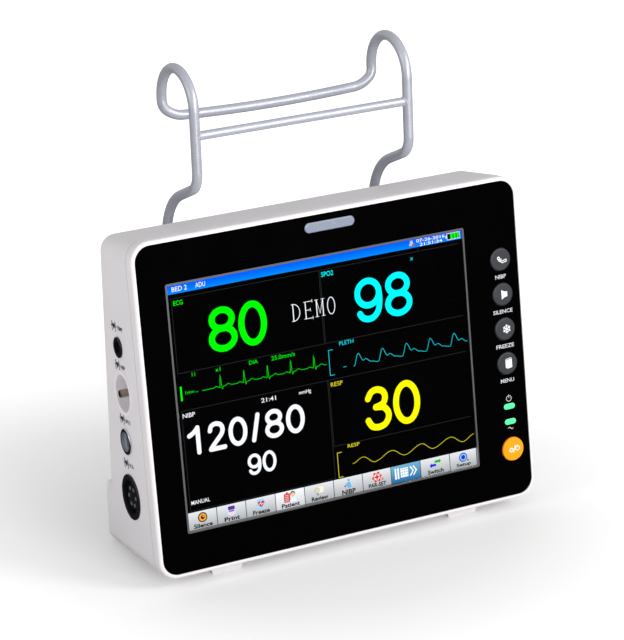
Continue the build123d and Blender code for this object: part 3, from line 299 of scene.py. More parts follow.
# ------------------------------------------------------------------ faces
class Face:
    """A flat place to draw on: u runs right and v up, in millimetres, and lift stands off it."""

    def __init__(self, origin, right, up):
        self.origin, self.right, self.up = Vector(origin), right.normalized(), up.normalized()
        self.out = self.right.cross(self.up)

    def at(self, u, v, lift=0.0):
        return self.origin + (self.right * u + self.up * v + self.out * lift) * MM


def span(node, direction):
    """Nearest and farthest reach of a node along a direction, in metres."""
    reach = [v.co.dot(direction) for v in nodes[node].data.vertices]
    return min(reach), max(reach)


def front_of(node, centre_of=None):
    """Face on the front of a node, parallel to the glass and centred on it or on another node."""
    u = sum(span(centre_of or node, RIGHT)) / 2
    v = sum(span(centre_of or node, UP)) / 2
    return Face(RIGHT * u + UP * v + OUT * span(node, OUT)[1], RIGHT, UP)


def wall_face(node, outside, towards, up):
    """Face laid on a node's surface where a straight line from outside first meets it."""
    mesh = nodes[node].data
    tree = BVHTree.FromPolygons([v.co for v in mesh.vertices], [p.vertices for p in mesh.polygons])
    place, normal, _, _ = tree.ray_cast(outside, towards.normalized())
    up = (up - normal * up.dot(normal)).normalized()
    return Face(place, up.cross(normal), up)


def beside(mount_name, u, v):
    """Face on the rear cover, u forwards or backwards and v up the wall from a socket's mount."""
    mount = mounts[mount_name]
    axis = Vector(mount["axis"])
    right = UP.cross(axis)
    start = Vector(mount["pos_m"]) + (right * u + UP * v + axis * 40) * MM
    return wall_face("rear_cover", start, -axis, UP)


# ------------------------------------------------------------------ drawing
INK_T = 0.02                # thickness of printed ink and of a drawn pixel, mm
LAYER = 0.035               # distance between one layer of a drawing and the next, mm


class Drawing:
    """Thin coloured shapes on a face, gathered into one mesh that rides on a body."""

    def __init__(self, name, face, body, material, base=0.02):
        self.name, self.face, self.body, self.material, self.base = name, face, body, material, base
        self.mesh = bmesh.new()
        self.ink = self.mesh.loops.layers.float_color.new("ink")

    def moved(self, u, v):
        """The same drawing with its origin moved."""
        other = object.__new__(Drawing)
        other.__dict__.update(self.__dict__)
        other.face = Face(self.face.at(u, v), self.face.right, self.face.up)
        return other

    def heights(self, level):
        low = self.base + level * LAYER
        return low, low + INK_T

    def colour(self, face, colour):
        for loop in face.loops:
            loop[self.ink] = colour

    def shape(self, colour, points, level=0):
        """A filled outline; the points run counterclockwise."""
        low, high = self.heights(level)
        under = [self.mesh.verts.new(self.face.at(u, v, low)) for u, v in points]
        over = [self.mesh.verts.new(self.face.at(u, v, high)) for u, v in points]
        made = [self.mesh.faces.new(over), self.mesh.faces.new(under[::-1])]
        for i in range(len(points)):
            j = (i + 1) % len(points)
            made.append(self.mesh.faces.new((under[i], under[j], over[j], over[i])))
        for face in made:
            self.colour(face, colour)

    def box(self, colour, u0, v0, u1, v1, level=0):
        self.shape(colour, [(u0, v0), (u1, v0), (u1, v1), (u0, v1)], level)

    def disc(self, colour, u, v, radius, level=0, sides=28, squash=1.0):
        turn = 2 * pi / sides
        points = [
            (u + radius * cos(i * turn), v + radius * squash * sin(i * turn)) for i in range(sides)
        ]
        self.shape(colour, points, level)

    def line(self, colour, points, width, level=0, closed=False):
        """A line of even width through the points, mitred at its corners."""
        count = len(points)
        sides = []
        for i, (u, v) in enumerate(points):
            before = points[i - 1] if i > 0 or closed else points[i]
            after = points[(i + 1) % count] if i < count - 1 or closed else points[i]
            entry, leave = (u - before[0], v - before[1]), (after[0] - u, after[1] - v)
            if entry == (0, 0):
                entry = leave
            if leave == (0, 0):
                leave = entry
            a, b = hypot(*entry), hypot(*leave)
            nu, nv = -(entry[1] / a + leave[1] / b), entry[0] / a + leave[0] / b
            size = hypot(nu, nv) or 1.0
            reach = width / 2 / max(size / 2, 0.55)
            nu, nv = nu / size * reach, nv / size * reach
            sides.append(((u + nu, v + nv), (u - nu, v - nv)))
        for i in range(count if closed else count - 1):
            (left, right), (next_left, next_right) = sides[i], sides[(i + 1) % count]
            self.shape(colour, [right, next_right, next_left, left], level)

    def ring(self, colour, u, v, radius, width, level=0, sides=28, start=0.0, sweep=1.0):
        steps = max(3, round(sides * sweep))
        count = steps if sweep == 1.0 else steps + 1
        turns = [2 * pi * (start + sweep * i / steps) for i in range(count)]
        points = [(u + radius * cos(t), v + radius * sin(t)) for t in turns]
        self.line(colour, points, width, level, closed=sweep == 1.0)

    def text(self, colour, words, u0, v0, u1, v1, level=0, bold=0.0):
        """Words in Blender's own font, fitted to a box."""
        curve = bpy.data.curves.new("words", "FONT")
        curve.body, curve.offset = words, bold
        curve.extrude, curve.resolution_u = 0.5, 3
        holder = bpy.data.objects.new("words", curve)
        bpy.context.scene.collection.objects.link(holder)
        flat = holder.to_mesh()
        low, high = self.heights(level)
        xs, ys = [v.co.x for v in flat.vertices], [v.co.y for v in flat.vertices]
        wide, tall = max(xs) - min(xs), max(ys) - min(ys)
        placed = []
        for vertex in flat.vertices:
            u = u0 + (vertex.co.x - min(xs)) / wide * (u1 - u0)
            v = v0 + (vertex.co.y - min(ys)) / tall * (v1 - v0)
            lift = high if vertex.co.z > 0 else low
            placed.append(self.mesh.verts.new(self.face.at(u, v, lift)))
        for polygon in flat.polygons:
            corners = [placed[i] for i in polygon.vertices]
            self.colour(self.mesh.faces.new(corners), colour)
        holder.to_mesh_clear()
        bpy.data.objects.remove(holder)
        bpy.data.curves.remove(curve)

    def digits(self, colour, characters, spans, v0, v1, width, level=0):
        """Large round-ended characters of even width, each fitted to its own span."""
        half = width / 2
        for character, (u0, u1) in zip(characters, spans):
            for points, closed in STROKES[character]:
                path = [
                    (u0 + half + x * (u1 - u0 - width), v0 + half + y * (v1 - v0 - width))
                    for x, y in points
                ]
                self.line(colour, path, width, level, closed)
                if not closed:
                    for u, v in (path[0], path[-1]):
                        self.disc(colour, u, v, half, level, 24)

    def finish(self, slot=None):
        data = bpy.data.meshes.new(self.name)
        bmesh.ops.remove_doubles(self.mesh, verts=self.mesh.verts[:], dist=1e-7)
        bmesh.ops.recalc_face_normals(self.mesh, faces=self.mesh.faces[:])
        self.mesh.to_mesh(data)
        self.mesh.free()
        data.materials.append(self.material)
        piece = bpy.data.objects.new(self.name, data)
        bpy.context.scene.collection.objects.link(piece)
        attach(piece, self.body)


def oval(x, y, half_x, half_y, sides=44):
    """A closed ring of points."""
    turn = 2 * pi / sides
    return [(x + half_x * cos(i * turn), y + half_y * sin(i * turn)) for i in range(sides)], True


def flowing(*points, steps=6):
    """An open curve that runs smoothly through the points."""
    path = []
    padded = [points[0], *points, points[-1]]
    for a, b, c, d in zip(padded, padded[1:], padded[2:], padded[3:]):
        for i in range(steps):
            t = i / steps
            weights = (
                -t / 2 + t ** 2 - t ** 3 / 2, 1 - 2.5 * t ** 2 + 1.5 * t ** 3,
                t / 2 + 2 * t ** 2 - 1.5 * t ** 3, -t ** 2 / 2 + t ** 3 / 2,
            )
            path.append(tuple(sum(w * p[k] for w, p in zip(weights, (a, b, c, d))) for k in (0, 1)))
    return path + [points[-1]], False


# Middle lines of the large characters, each in a box one unit wide and high
STROKES = {
    "0": [oval(0.5, 0.5, 0.5, 0.5)],
    "1": [flowing((0, 0.72), (0.35, 0.8), (0.7, 0.94)), ([(0.8, 1), (0.8, 0)], False)],
    "2": [
        flowing(
            (0.05, 0.75), (0.16, 0.93), (0.48, 1.0), (0.82, 0.92), (0.93, 0.74),
            (0.84, 0.56), (0.55, 0.36), (0.2, 0.14), (0.02, 0),
        ),
        ([(0.02, 0), (1, 0)], False),
    ],
    "3": [
        flowing((0.08, 0.8), (0.24, 0.95), (0.5, 1.0), (0.78, 0.93), (0.88, 0.77), (0.76, 0.6), (0.42, 0.54)),
        flowing(
            (0.42, 0.54), (0.78, 0.5), (0.97, 0.36), (0.98, 0.2), (0.8, 0.05),
            (0.5, 0), (0.2, 0.05), (0.03, 0.22),
        ),
    ],
    "8": [oval(0.5, 0.76, 0.44, 0.24), oval(0.5, 0.265, 0.5, 0.265)],
    "9": [
        oval(0.49, 0.68, 0.49, 0.32),
        flowing((0.98, 0.68), (0.99, 0.45), (0.9, 0.18), (0.68, 0.03), (0.42, 0), (0.18, 0.06), (0.06, 0.17)),
    ],
    "/": [([(0, 0), (1, 1)], False)],
}


def bump_at(t, centre, width, height):
    """One smooth hump of a trace."""
    return height * exp(-(((t - centre) / width) ** 2))


def curve_between(turning_points, step=0.35):
    """A smooth line through the high and low points of a trace."""
    path = []
    for (u0, v0), (u1, v1) in zip(turning_points, turning_points[1:]):
        steps = max(2, round((u1 - u0) / step))
        for i in range(steps):
            share = i / steps
            path.append((u0 + (u1 - u0) * share, v0 + (v1 - v0) * (1 - cos(pi * share)) / 2))
    return path + [turning_points[-1]]


# ------------------------------------------------------------------ screen
WHITE_PX = rgb(246, 248, 250)
GREY_LINE = rgb(42, 43, 45)
GREEN = rgb(0, 255, 0)
CYAN = rgb(0, 255, 255)
YELLOW = rgb(255, 255, 0)
TRACE_GREEN = rgb(0, 225, 10)
TRACE_CYAN = rgb(20, 205, 215)
TRACE_YELLOW = rgb(215, 205, 30)
TILE_INK = rgb(2, 2, 3)
TRACE_W = 0.25

BEAT_PITCH = 12.75
BEATS = [-57.8 + i * BEAT_PITCH for i in range(5)]
ECG_BASE = 7.2
# Centre, width and height of the five waves of one heartbeat
BEAT_WAVES = [(-2.6, 0.7, 0.6), (-0.5, 0.3, -0.6), (0, 0.32, 6.2), (0.7, 0.35, -1.3), (4, 1.1, 0.9)]
PULSE_PITCH = 13.7
PULSE_SHAPE = [(0, 3.4), (2.8, 9.5), (5.4, 5.5), (6.8, 6.1), (9.8, 4.2)]


def heartbeat(t):
    """Height of the heart trace at t."""
    height = ECG_BASE
    for beat in BEATS:
        for centre, width, size in BEAT_WAVES:
            height += bump_at(t, beat + centre, width, size)
    return height


LEFT_PANEL, RIGHT_PANEL = (-79.7, -0.2), (0.5, 78.8)    # u of their left and right edges
UPPER_PANEL = (17.7, 54.5)                              # v of its lower and upper edges
FRAME_W = 0.22


def draw_values(d):
    """The panels, their headings, large values and traces."""
    u0, u1 = LEFT_PANEL
    for v0, v1 in (UPPER_PANEL, (-51, -0.9)):
        d.line(GREY_LINE, [(u0, v0), (u1, v0), (u1, v1), (u0, v1)], FRAME_W, closed=True)
    u0, u1 = RIGHT_PANEL
    for v0, v1 in (UPPER_PANEL, (-34.8, -0.9)):
        d.line(GREY_LINE, [(u1, v0), (u0, v0), (u0, v1), (u1, v1)], FRAME_W)
    headings = [
        (GREEN, "ECG", -78.8, 51, -73.8, 53.3), (CYAN, "SPO2", 1, 51, 7.6, 53.4),
        (TRACE_GREEN, "x1", -60, 15, -57.3, 17), (TRACE_GREEN, "DIA", -41.8, 15, -37, 17),
        (TRACE_GREEN, "25.0mm/s", -29.7, 14.8, -16.8, 17), (TRACE_GREEN, "1mv", -76.8, 7, -72, 8.6),
        (TRACE_CYAN, "PLETH", 7.8, 15.3, 15.8, 17.3),
        (WHITE_PX, "NIBP", -79.3, -4.5, -72.8, -2.3), (WHITE_PX, "21:41", -37, -5, -29, -2.8),
        (WHITE_PX, "mmHg", -16.3, -5.5, -9.7, -3), (WHITE_PX, "MANUAL", -79, -48, -69, -46),
        (TRACE_YELLOW, "RESP", 1.4, -4.5, 8, -2.3), (TRACE_YELLOW, "RESP", 8, -37, 14.7, -35.2),
    ]
    for colour, words, u0, v0, u1, v1 in headings:
        d.text(colour, words, u0, v0, u1, v1, 1, 0.006)
    for rise in (-0.7, 0.7):
        d.line(CYAN, [(51, 51.3 - rise), (52.3, 51.3 + rise)], 0.22, 1)
    for u in (-72.4, -71):
        d.line(TRACE_GREEN, [(u, 15), (u, 17)], 0.3, 1)
    d.digits(GREEN, "80", [(-62, -46.5), (-45.7, -30.3)], 24, 46.3, 3.3, 1)
    d.digits(CYAN, "98", [(18.3, 33.8), (35, 50.4)], 24, 46.3, 3.2, 1)
    d.digits(YELLOW, "30", [(18.7, 34), (35.2, 50.6)], -31.5, -9, 3.3, 1)
    pressure = [(-78, -70), (-67.3, -57.3), (-56, -45.8), (-43.8, -38.6), (-36.3, -26), (-24.6, -14.3)]
    d.digits(WHITE_PX, "120/80", pressure, -23.8, -9.2, 2.3, 1)
    d.digits(WHITE_PX, "90", [(-47.2, -39.8), (-39.2, -31.6)], -40, -29.3, 1.65, 1)

    trace = [(-68 + i * 0.2, heartbeat(-68 + i * 0.2)) for i in range(341)]
    d.line(TRACE_GREEN, trace, TRACE_W, 1)
    d.line(TRACE_GREEN, [(-71.5, ECG_BASE), (-70, ECG_BASE)], TRACE_W, 1)
    d.box(GREEN, -79.4, 4.2, -78.5, 11.3, 1)

    pulse = [(15 + beat * PULSE_PITCH + t, v) for beat in range(5) for t, v in PULSE_SHAPE]
    pulse = [point for point in pulse if point[0] < 80] + [(80, 4.6)]
    d.line(TRACE_CYAN, curve_between(pulse), TRACE_W, 1)
    d.line(TRACE_CYAN, [(9, 4.2), (11, 4.2)], TRACE_W, 1)
    d.line(TRACE_CYAN, [(4.1, 14), (1.6, 14), (1.6, 1.3), (4.1, 1.3)], 0.3, 1)

    breath = [
        (10, -45.5), (16, -43.3), (22.5, -47), (32.5, -43.3), (39.7, -47),
        (49.5, -43.3), (56, -47), (66.5, -43.3), (73.5, -47), (80, -44.2),
    ]
    d.line(TRACE_YELLOW, curve_between(breath), TRACE_W, 1)
    d.line(TRACE_YELLOW, [(4.4, -38.4), (1.9, -38.4), (1.9, -51), (4.4, -51)], 0.3, 1)


def draw_demo(d):
    """The word DEMO in narrow serif strokes."""
    low, high, stem, serif = 31.9, 40.3, 0.5, 0.24

    def upright(u):
        d.line(WHITE_PX, [(u, low), (u, high)], stem, 2)
        for v in (low, high):
            d.line(WHITE_PX, [(u - 1, v), (u + 1, v)], serif, 2)

    mid = (low + high) / 2
    upright(-15.8)
    bowl = [(-15.8 + 3.6 * sin(i * pi / 14), mid + (high - mid) * cos(i * pi / 14)) for i in range(15)]
    d.line(WHITE_PX, bowl, 0.36, 2)
    upright(-9)
    for v, reach in ((low, 3.8), (mid, 2.6), (high, 3.8)):
        d.line(WHITE_PX, [(-9, v), (-9 + reach, v)], serif * 1.2, 2)
        d.line(WHITE_PX, [(-9 + reach, v - 0.8), (-9 + reach, v + 0.8)], serif, 2)
    upright(-2.9)
    upright(0.6)
    d.line(WHITE_PX, [(-2.9, high), (-1.15, low + 1.5), (0.6, high)], 0.3, 2)
    letter_o = [(5.1 + 2.0 * cos(i * pi / 12), mid + (high - mid) * sin(i * pi / 12)) for i in range(24)]
    d.line(WHITE_PX, letter_o, 0.4, 2, closed=True)


TITLE_LOW, TITLE_HIGH = 56.7, 61.1


def draw_title(d):
    """The blue bar along the top, with its words and two small signs."""
    shades = 6
    step = (TITLE_HIGH - TITLE_LOW) / shades
    for row in range(shades):
        shade = rgb(0, 134 - 8 * row, 255)
        d.box(shade, -81.4, TITLE_LOW + row * step, 80.6, TITLE_LOW + (row + 1) * step)
    d.text(WHITE_PX, "BED 2", -79, 57.8, -71, 60.1, 2, 0.005)
    d.text(WHITE_PX, "ADU", -66.5, 57.8, -61.3, 60.1, 2, 0.005)
    d.text(WHITE_PX, "07-26-2016", 55, 59.0, 71.2, 60.6, 2, 0.01)
    d.text(WHITE_PX, "21:51:34", 56.8, 56.95, 69.7, 58.5, 2, 0.01)
    bell = d.moved(52.2, 59)
    bell_outline = [(-1.5, -1.1), (1.5, -1.1), (0.9, 0), (0.7, 1.2), (0, 1.6), (-0.7, 1.2), (-0.9, 0)]
    bell.shape(rgb(190, 196, 205), bell_outline, 1)
    bell.disc(rgb(225, 40, 40), 0.9, -0.9, 0.65, 2, 14)
    cell = d.moved(76, 58.9)
    cell.box(rgb(225, 228, 232), -3.6, -1.7, 4, 1.7, 1)
    cell.box(rgb(225, 228, 232), -4.3, -0.7, -3.6, 0.7, 1)
    cell.box(rgb(4, 5, 8), -3.3, -1.4, 3.7, 1.4, 2)
    for i in range(3):
        cell.box(rgb(20, 235, 20), -1.6 + i * 1.8, -1.3, -0.2 + i * 1.8, 1.3, 3)


TILE_EDGES = [-81.5, -66, -50.2, -34, -17.8, -1.5, 14.8, 31, 48, 65, 80.7]
TILE_NAMES = ["Silence", "Print", "Freeze", "Patient", "Review", "NIBP", "PAR-SET", "", "Switch", "Setup"]
TILE_LOW, TILE_HIGH = -60.5, -51.8
PATIENT_TILE, MORE_TILE = 3, 7      # the pale tile, and the blue one that has no name


def heart_outline(u, v, size):
    """The heart curve, drawn size wide."""
    points = []
    for i in range(24):
        t = -2 * pi * i / 24
        x = 16 * sin(t) ** 3
        y = 13 * cos(t) - 5 * cos(2 * t) - 2 * cos(3 * t) - cos(4 * t)
        points.append((u - x * size / 32, v + y * size / 32))
    return points[::-1]


def gear_outline(radius, teeth):
    """A toothed disc: each tooth takes four points, two at the tip and two at the root."""
    root = 0.74 * radius
    points = []
    for i in range(4 * teeth):
        reach = radius if i % 4 in (0, 1) else root
        turn = 2 * pi * i / (4 * teeth)
        points.append((reach * cos(turn), reach * sin(turn)))
    return points


def small_figure(d, colour):
    """A plain head and shoulders."""
    d.disc(colour, 0, 1.4, 0.65, 2, 16)
    d.shape(colour, [(-1.1, -1.9), (1.1, -1.9), (0.9, 0.4), (-0.9, 0.4)], 2)


def icon_silence(d):
    d.disc(rgb(28, 26, 30), 0, 0, 2.5, 1)
    d.disc(rgb(250, 165, 40), 0, 0, 1.95, 2)
    d.disc(rgb(30, 24, 22), 0, 0, 1.0, 3)
    d.disc(rgb(250, 236, 210), 0.3, 0.3, 0.3, 4, 12)


def icon_print(d):
    d.box(rgb(214, 222, 246), -2.2, -1.9, 2.2, 1.0, 1)
    d.box(rgb(96, 44, 150), -1.8, 0.4, 1.8, 2.3, 2)
    d.box(rgb(96, 44, 150), -1.4, -0.5, 1.4, 0.1, 2)
    d.shape(rgb(246, 208, 214), [(-0.9, -2.7), (0.9, -2.7), (1.3, -1.3), (-1.3, -1.3)], 3)


def icon_freeze(d):
    d.box(rgb(158, 212, 246), -2.0, -2.4, 2.0, 2.4, 1)
    d.shape(rgb(214, 24, 36), heart_outline(0.2, 0, 3.7), 2)
    d.line(WHITE_PX, [(-1.2, 0), (-0.4, 0), (0, 0.9), (0.4, -0.7), (0.8, 0), (1.6, 0)], 0.28, 3)


def icon_patient(d):
    d.box(rgb(206, 60, 66), -3.4, -2.4, 0, 2.0, 1)
    d.box(rgb(206, 60, 66), -2.3, 2.0, -1.1, 2.7, 1)
    for v in (-1.6, -0.7, 0.2, 1.1):
        d.line(rgb(246, 220, 216), [(-2.8, v), (-0.8, v)], 0.3, 2)
    d.shape(rgb(236, 246, 252), [(-0.4, -2.4), (3.4, -2.4), (2.6, -0.5), (0.4, -0.5)], 3)
    d.disc(rgb(70, 44, 36), 1.5, 1.5, 1.35, 3, 20)
    d.disc(rgb(250, 196, 150), 1.5, 1.0, 1.15, 4, 20)


def icon_review(d):
    for u, v, tone in ((1.5, 0.9, 226), (0.9, 0.3, 244)):
        level = 1 if tone < 230 else 2
        d.box(rgb(tone, tone - 6, tone - 22), u - 1.3, v - 1.6, u + 1.3, v + 1.6, level)
    d.ring(rgb(236, 186, 60), -1.2, 0.2, 1.2, 0.5, 3, 20)
    d.disc(rgb(190, 222, 246), -1.2, 0.2, 0.95, 3, 20)
    d.line(rgb(70, 120, 200), [(-1.1, -1.3), (-0.9, -2.5)], 0.7, 3)


def icon_nibp(d):
    small_figure(d.moved(0.3, 0.4), rgb(112, 180, 226))
    d.line(rgb(112, 180, 226), [(-0.6, 0.2), (-1.9, -1.4)], 0.8, 2)
    d.box(rgb(112, 180, 226), -0.6, -2.2, 1.6, -1.0, 2)
    d.disc(rgb(224, 50, 60), -1.9, -0.9, 0.5, 3, 14)


def icon_set(d):
    d.shape(rgb(216, 24, 30), gear_outline(2.8, 6), 1)
    d.disc(rgb(250, 226, 226), 0, 0, 1.75, 2, 22)
    d.line(rgb(216, 24, 30), [(-1.4, 0), (1.4, 0)], 0.8, 3)
    d.line(rgb(216, 24, 30), [(0, -1.4), (0, 1.4)], 0.8, 4)
    d.disc(rgb(232, 120, 128), 3.1, -1.5, 0.7, 1, 14)


def icon_more(d):
    white = rgb(240, 248, 252)
    d.box(white, -6.4, -3.6, -5.4, 2.0, 1)
    d.box(white, -4.9, -3.6, -3.9, 2.0, 1)
    d.box(white, -3.1, -3.2, 1.3, 1.6, 1)
    for row in range(3):
        for column in range(3):
            u, v = -2.3 + column * 1.3, -2.3 + row * 1.4
            d.box(rgb(84, 148, 192), u, v, u + 0.5, v + 0.6, 2)
    for u in (2.4, 4.2):
        d.line(white, [(u, -3.2), (u + 1.8, -0.8), (u, 1.6)], 0.7, 1)


def icon_switch(d):
    arrow = [(-2.2, 0), (-0.9, -1.2), (-0.9, -0.6), (1.6, -0.6), (1.6, 0.6), (-0.9, 0.6), (-0.9, 1.2)]
    d.moved(-1.1, -0.7).shape(rgb(28, 24, 226), arrow, 1)
    d.moved(1.3, 1.0).shape(rgb(22, 186, 30), [(-u, -v) for u, v in arrow], 2)


def icon_setup(d):
    d.disc(rgb(34, 92, 196), 0, 0, 2.4, 1)
    d.ring(rgb(176, 208, 246), 0, 0, 1.5, 0.5, 2)
    d.disc(rgb(20, 60, 160), 0, 0, 0.8, 3, 18)
    d.disc(rgb(34, 92, 196), 2.7, -1.9, 0.5, 1, 12)


TILE_ICONS = [
    icon_silence, icon_print, icon_freeze, icon_patient, icon_review,
    icon_nibp, icon_set, icon_more, icon_switch, icon_setup,
]
TILE_SHADES = 7


def draw_toolbar(d):
    """Ten tiles along the bottom, shaded from light to dark, each with a sign and a name."""
    for i, (left, right) in enumerate(zip(TILE_EDGES, TILE_EDGES[1:])):
        top, foot = rgb(226, 228, 228), rgb(176, 178, 179)
        if i == PATIENT_TILE:
            top, foot = rgb(246, 247, 248), rgb(206, 208, 211)
        if i == MORE_TILE:
            top, foot = rgb(112, 172, 204), rgb(44, 112, 162)
        step = (TILE_HIGH - TILE_LOW) / TILE_SHADES
        for row in range(TILE_SHADES):
            share = row / (TILE_SHADES - 1)
            shade = tuple(a * (1 - share) + b * share for a, b in zip(foot, top))
            low = TILE_LOW + row * step
            d.box(shade, left + 0.2, low, right - 0.2, low + step + 0.02)
        d.line(rgb(70, 74, 84), [(right, TILE_LOW), (right, TILE_HIGH)], 0.3, 1)
        middle = (left + right) / 2
        words = TILE_NAMES[i]
        if words:
            half = 2.2 + len(words) * 0.4
            foot_v = -60.4 if "y" in words or "P" in words[1:] else -60.1
            d.text(TILE_INK, words, middle - half, foot_v, middle + half, -57.9, 4, 0.03)
        TILE_ICONS[i](d.moved(middle, -55.1))


# The picture lies a little behind the face of the glass, so it is drawn this much to the right
# and lower, in mm, to line up from the photograph's angle
IMAGE_SHIFT = (0.44, -0.24)

screen = Drawing("screen_image", front_of("lcd_panel"), "case", LIT, base=0.03)
picture = screen.moved(*IMAGE_SHIFT)
draw_values(picture)
draw_demo(picture)
draw_title(picture)
draw_toolbar(picture)
screen.finish("display")


# ------------------------------------------------------------------ keys and printed front
PRINT_GREY = rgb(186, 186, 190)
KEY_WHITE = rgb(236, 236, 238)
# Word under each key, and its width in mm
KEY_WORDS = {
    "key_nibp": ("NIBP", 6.2), "key_silence": ("SILENCE", 11.3),
    "key_freeze": ("FREEZE", 10.4), "key_menu": ("MENU", 7.8),
}
WORD_DROP = 8.8             # from a key's middle to its word's, mm
WORD_SHIFT = 0.35           # words sit this far to the left of their keys, mm
LENS_U = 101.7              # the two indicator lenses, from the middle of the glass, mm
RUN_SIGN_V, MAINS_SIGN_V = -29.9, -45.5
SIGN_LINE = 0.3

glass_print = Drawing("front_lettering", front_of("front_panel", "touch_glass"), "case", PRINTED, base=0.005)
for key, (words, width) in KEY_WORDS.items():
    u = (sum(span(key, RIGHT)) - sum(span("touch_glass", RIGHT))) / 2 / MM - WORD_SHIFT
    v = (sum(span(key, UP)) - sum(span("touch_glass", UP))) / 2 / MM - WORD_DROP
    glass_print.text(PRINT_GREY, words, u - width / 2, v - 1.0, u + width / 2, v + 1.0, 0, 0.015)
glass_print.ring(PRINT_GREY, LENS_U, RUN_SIGN_V, 1.45, SIGN_LINE, 0, 24, 0.3, 0.9)
run_stroke = [(LENS_U, RUN_SIGN_V + 0.2), (LENS_U, RUN_SIGN_V + 2)]
glass_print.line(PRINT_GREY, run_stroke, SIGN_LINE)
wave = [(LENS_U - 1.5 + i * 0.25, MAINS_SIGN_V + 0.5 * sin(i * 2 * pi / 12)) for i in range(13)]
glass_print.line(PRINT_GREY, wave, SIGN_LINE)
glass_print.finish()


def key_drawing(key):
    return Drawing(key + "_sign", front_of(key), key, PRINTED, base=0.005)


def sign_cuff(d):
    d.ring(KEY_WHITE, -1.9, 0.9, 0.6, 0.4, 0, 18)
    arm = [(-1.5, 0.2), (0, -0.8), (2.5, -0.2), (2.6, -1.2), (0.2, -1.7), (-2.0, -0.3)]
    d.line(KEY_WHITE, arm, 0.36, closed=True)
    d.line(KEY_WHITE, [(-0.9, -0.3), (-0.3, 0.5)], 0.4, 1)


def sign_speaker(d):
    d.shape(KEY_WHITE, [(-1.5, -2.4), (0.5, -1.3), (1.8, -1.3), (1.8, 1.3), (0.5, 1.3), (-1.5, 2.4)])


def sign_snowflake(d):
    for arm in range(6):
        turn = arm * pi / 3 + pi / 6
        du, dv = cos(turn), sin(turn)
        d.line(KEY_WHITE, [(0.2, 0), (0.2 + 2.3 * du, 2.3 * dv)], 0.45)
        for side in (-1, 1):
            bu, bv = cos(turn + side * pi / 3), sin(turn + side * pi / 3)
            start = (0.2 + 1.3 * du, 1.3 * dv)
            d.line(KEY_WHITE, [start, (start[0] + 0.9 * bu, start[1] + 0.9 * bv)], 0.36)


def sign_page(d):
    d.shape(KEY_WHITE, [(-0.9, -2.6), (1.9, -2.2), (1.9, 2.3), (-0.9, 1.9)])
    d.shape(KEY_WHITE, [(-1.8, -1.9), (-1.2, -2.4), (-1.2, 2), (-1.8, 2.2)])
    d.line(KEY_WHITE, [(-1.6, 2.3), (0.9, 2.7), (1.8, 2.6)], 0.25)


def sign_power(d):
    d.ring(KEY_WHITE, -1.9, -0.3, 1.0, 0.36, 0, 24)
    d.line(KEY_WHITE, [(-2.3, -0.3), (-1.5, -0.3)], 0.3)
    d.line(KEY_WHITE, [(-0.7, -1.9), (0.5, 1.9)], 0.34)
    d.ring(KEY_WHITE, 1.7, 0.2, 1.15, 0.36, 0, 24, 0.31, 0.88)
    d.line(KEY_WHITE, [(1.7, 0.6), (1.7, 1.9)], 0.34)


SIGN_SHIFT = 0.6
for key, sign in (
    ("key_nibp", sign_cuff), ("key_silence", sign_speaker), ("key_freeze", sign_snowflake),
    ("key_menu", sign_page), ("key_power", sign_power),
):
    drawing = key_drawing(key)
    sign(drawing.moved(SIGN_SHIFT, 0))
    drawing.finish()


# ------------------------------------------------------------------ printed sides and back
CASE_INK = rgb(30, 29, 33)


def socket_label(name, mount_name, v, words, sign_u, word_u, word_w):
    """A heart between two paddles, and a word, above a socket on the left side."""
    d = Drawing(name, beside(mount_name, 0, v), "case", PRINTED, base=0.004)
    d.shape(CASE_INK, heart_outline(sign_u, 0.1, 3.8))
    for side in (-1, 1):
        bar_u = sign_u + side * 2.5
        d.line(CASE_INK, [(bar_u, -2.1), (bar_u, 2.1)], 0.7)
        d.line(CASE_INK, [(bar_u, 0), (bar_u + side * 1.1, 0)], 0.6)
        for bar_v in (-2.1, 2.1):
            d.line(CASE_INK, [(bar_u, bar_v), (bar_u - side * 1.0, bar_v)], 0.6)
    d.text(CASE_INK, words, word_u, -1.0, word_u + word_w, 1.0, 0, 0.035)
    d.finish()


socket_label("label_temp", "temp_jack", 9.9, "TEMP", -4.1, 0.3, 7.4)
socket_label("label_nibp", "nibp_hose_port", 13.4, "NIBP", -4.2, 0.2, 5.8)
socket_label("label_spo2", "spo2_socket", 10.7, "SPO2", -3.4, 0.9, 6.6)
socket_label("label_ecg", "ecg_socket", 16.5, "ECG", -3.0, 1.3, 5.4)


def port_label(name, mount_name, v, words, width):
    d = Drawing(name, beside(mount_name, 0, v), "case", PRINTED, base=0.004)
    d.text(CASE_INK, words, -width / 2, -1.1, width / 2, 1.1, 0, 0.01)
    d.finish()


port_label("label_lan", "lan_socket", 10.2, "LAN", 6.4)
port_label("label_usb", "usb_socket", 9.6, "USB", 6.4)
port_label("label_power", "power_inlet", 10.6, "DC 15V", 11.5)


def back_drawing(name, node, u, v, base=0.004):
    """A drawing on a node seen from behind, u to the viewer's right and v up."""
    low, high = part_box(node)
    start = (low + high) / 2 - RIGHT * u * MM + UP * v * MM - OUT * 60 * MM
    return Drawing(name, wall_face(node, start, OUT, UP), "case", PRINTED, base)


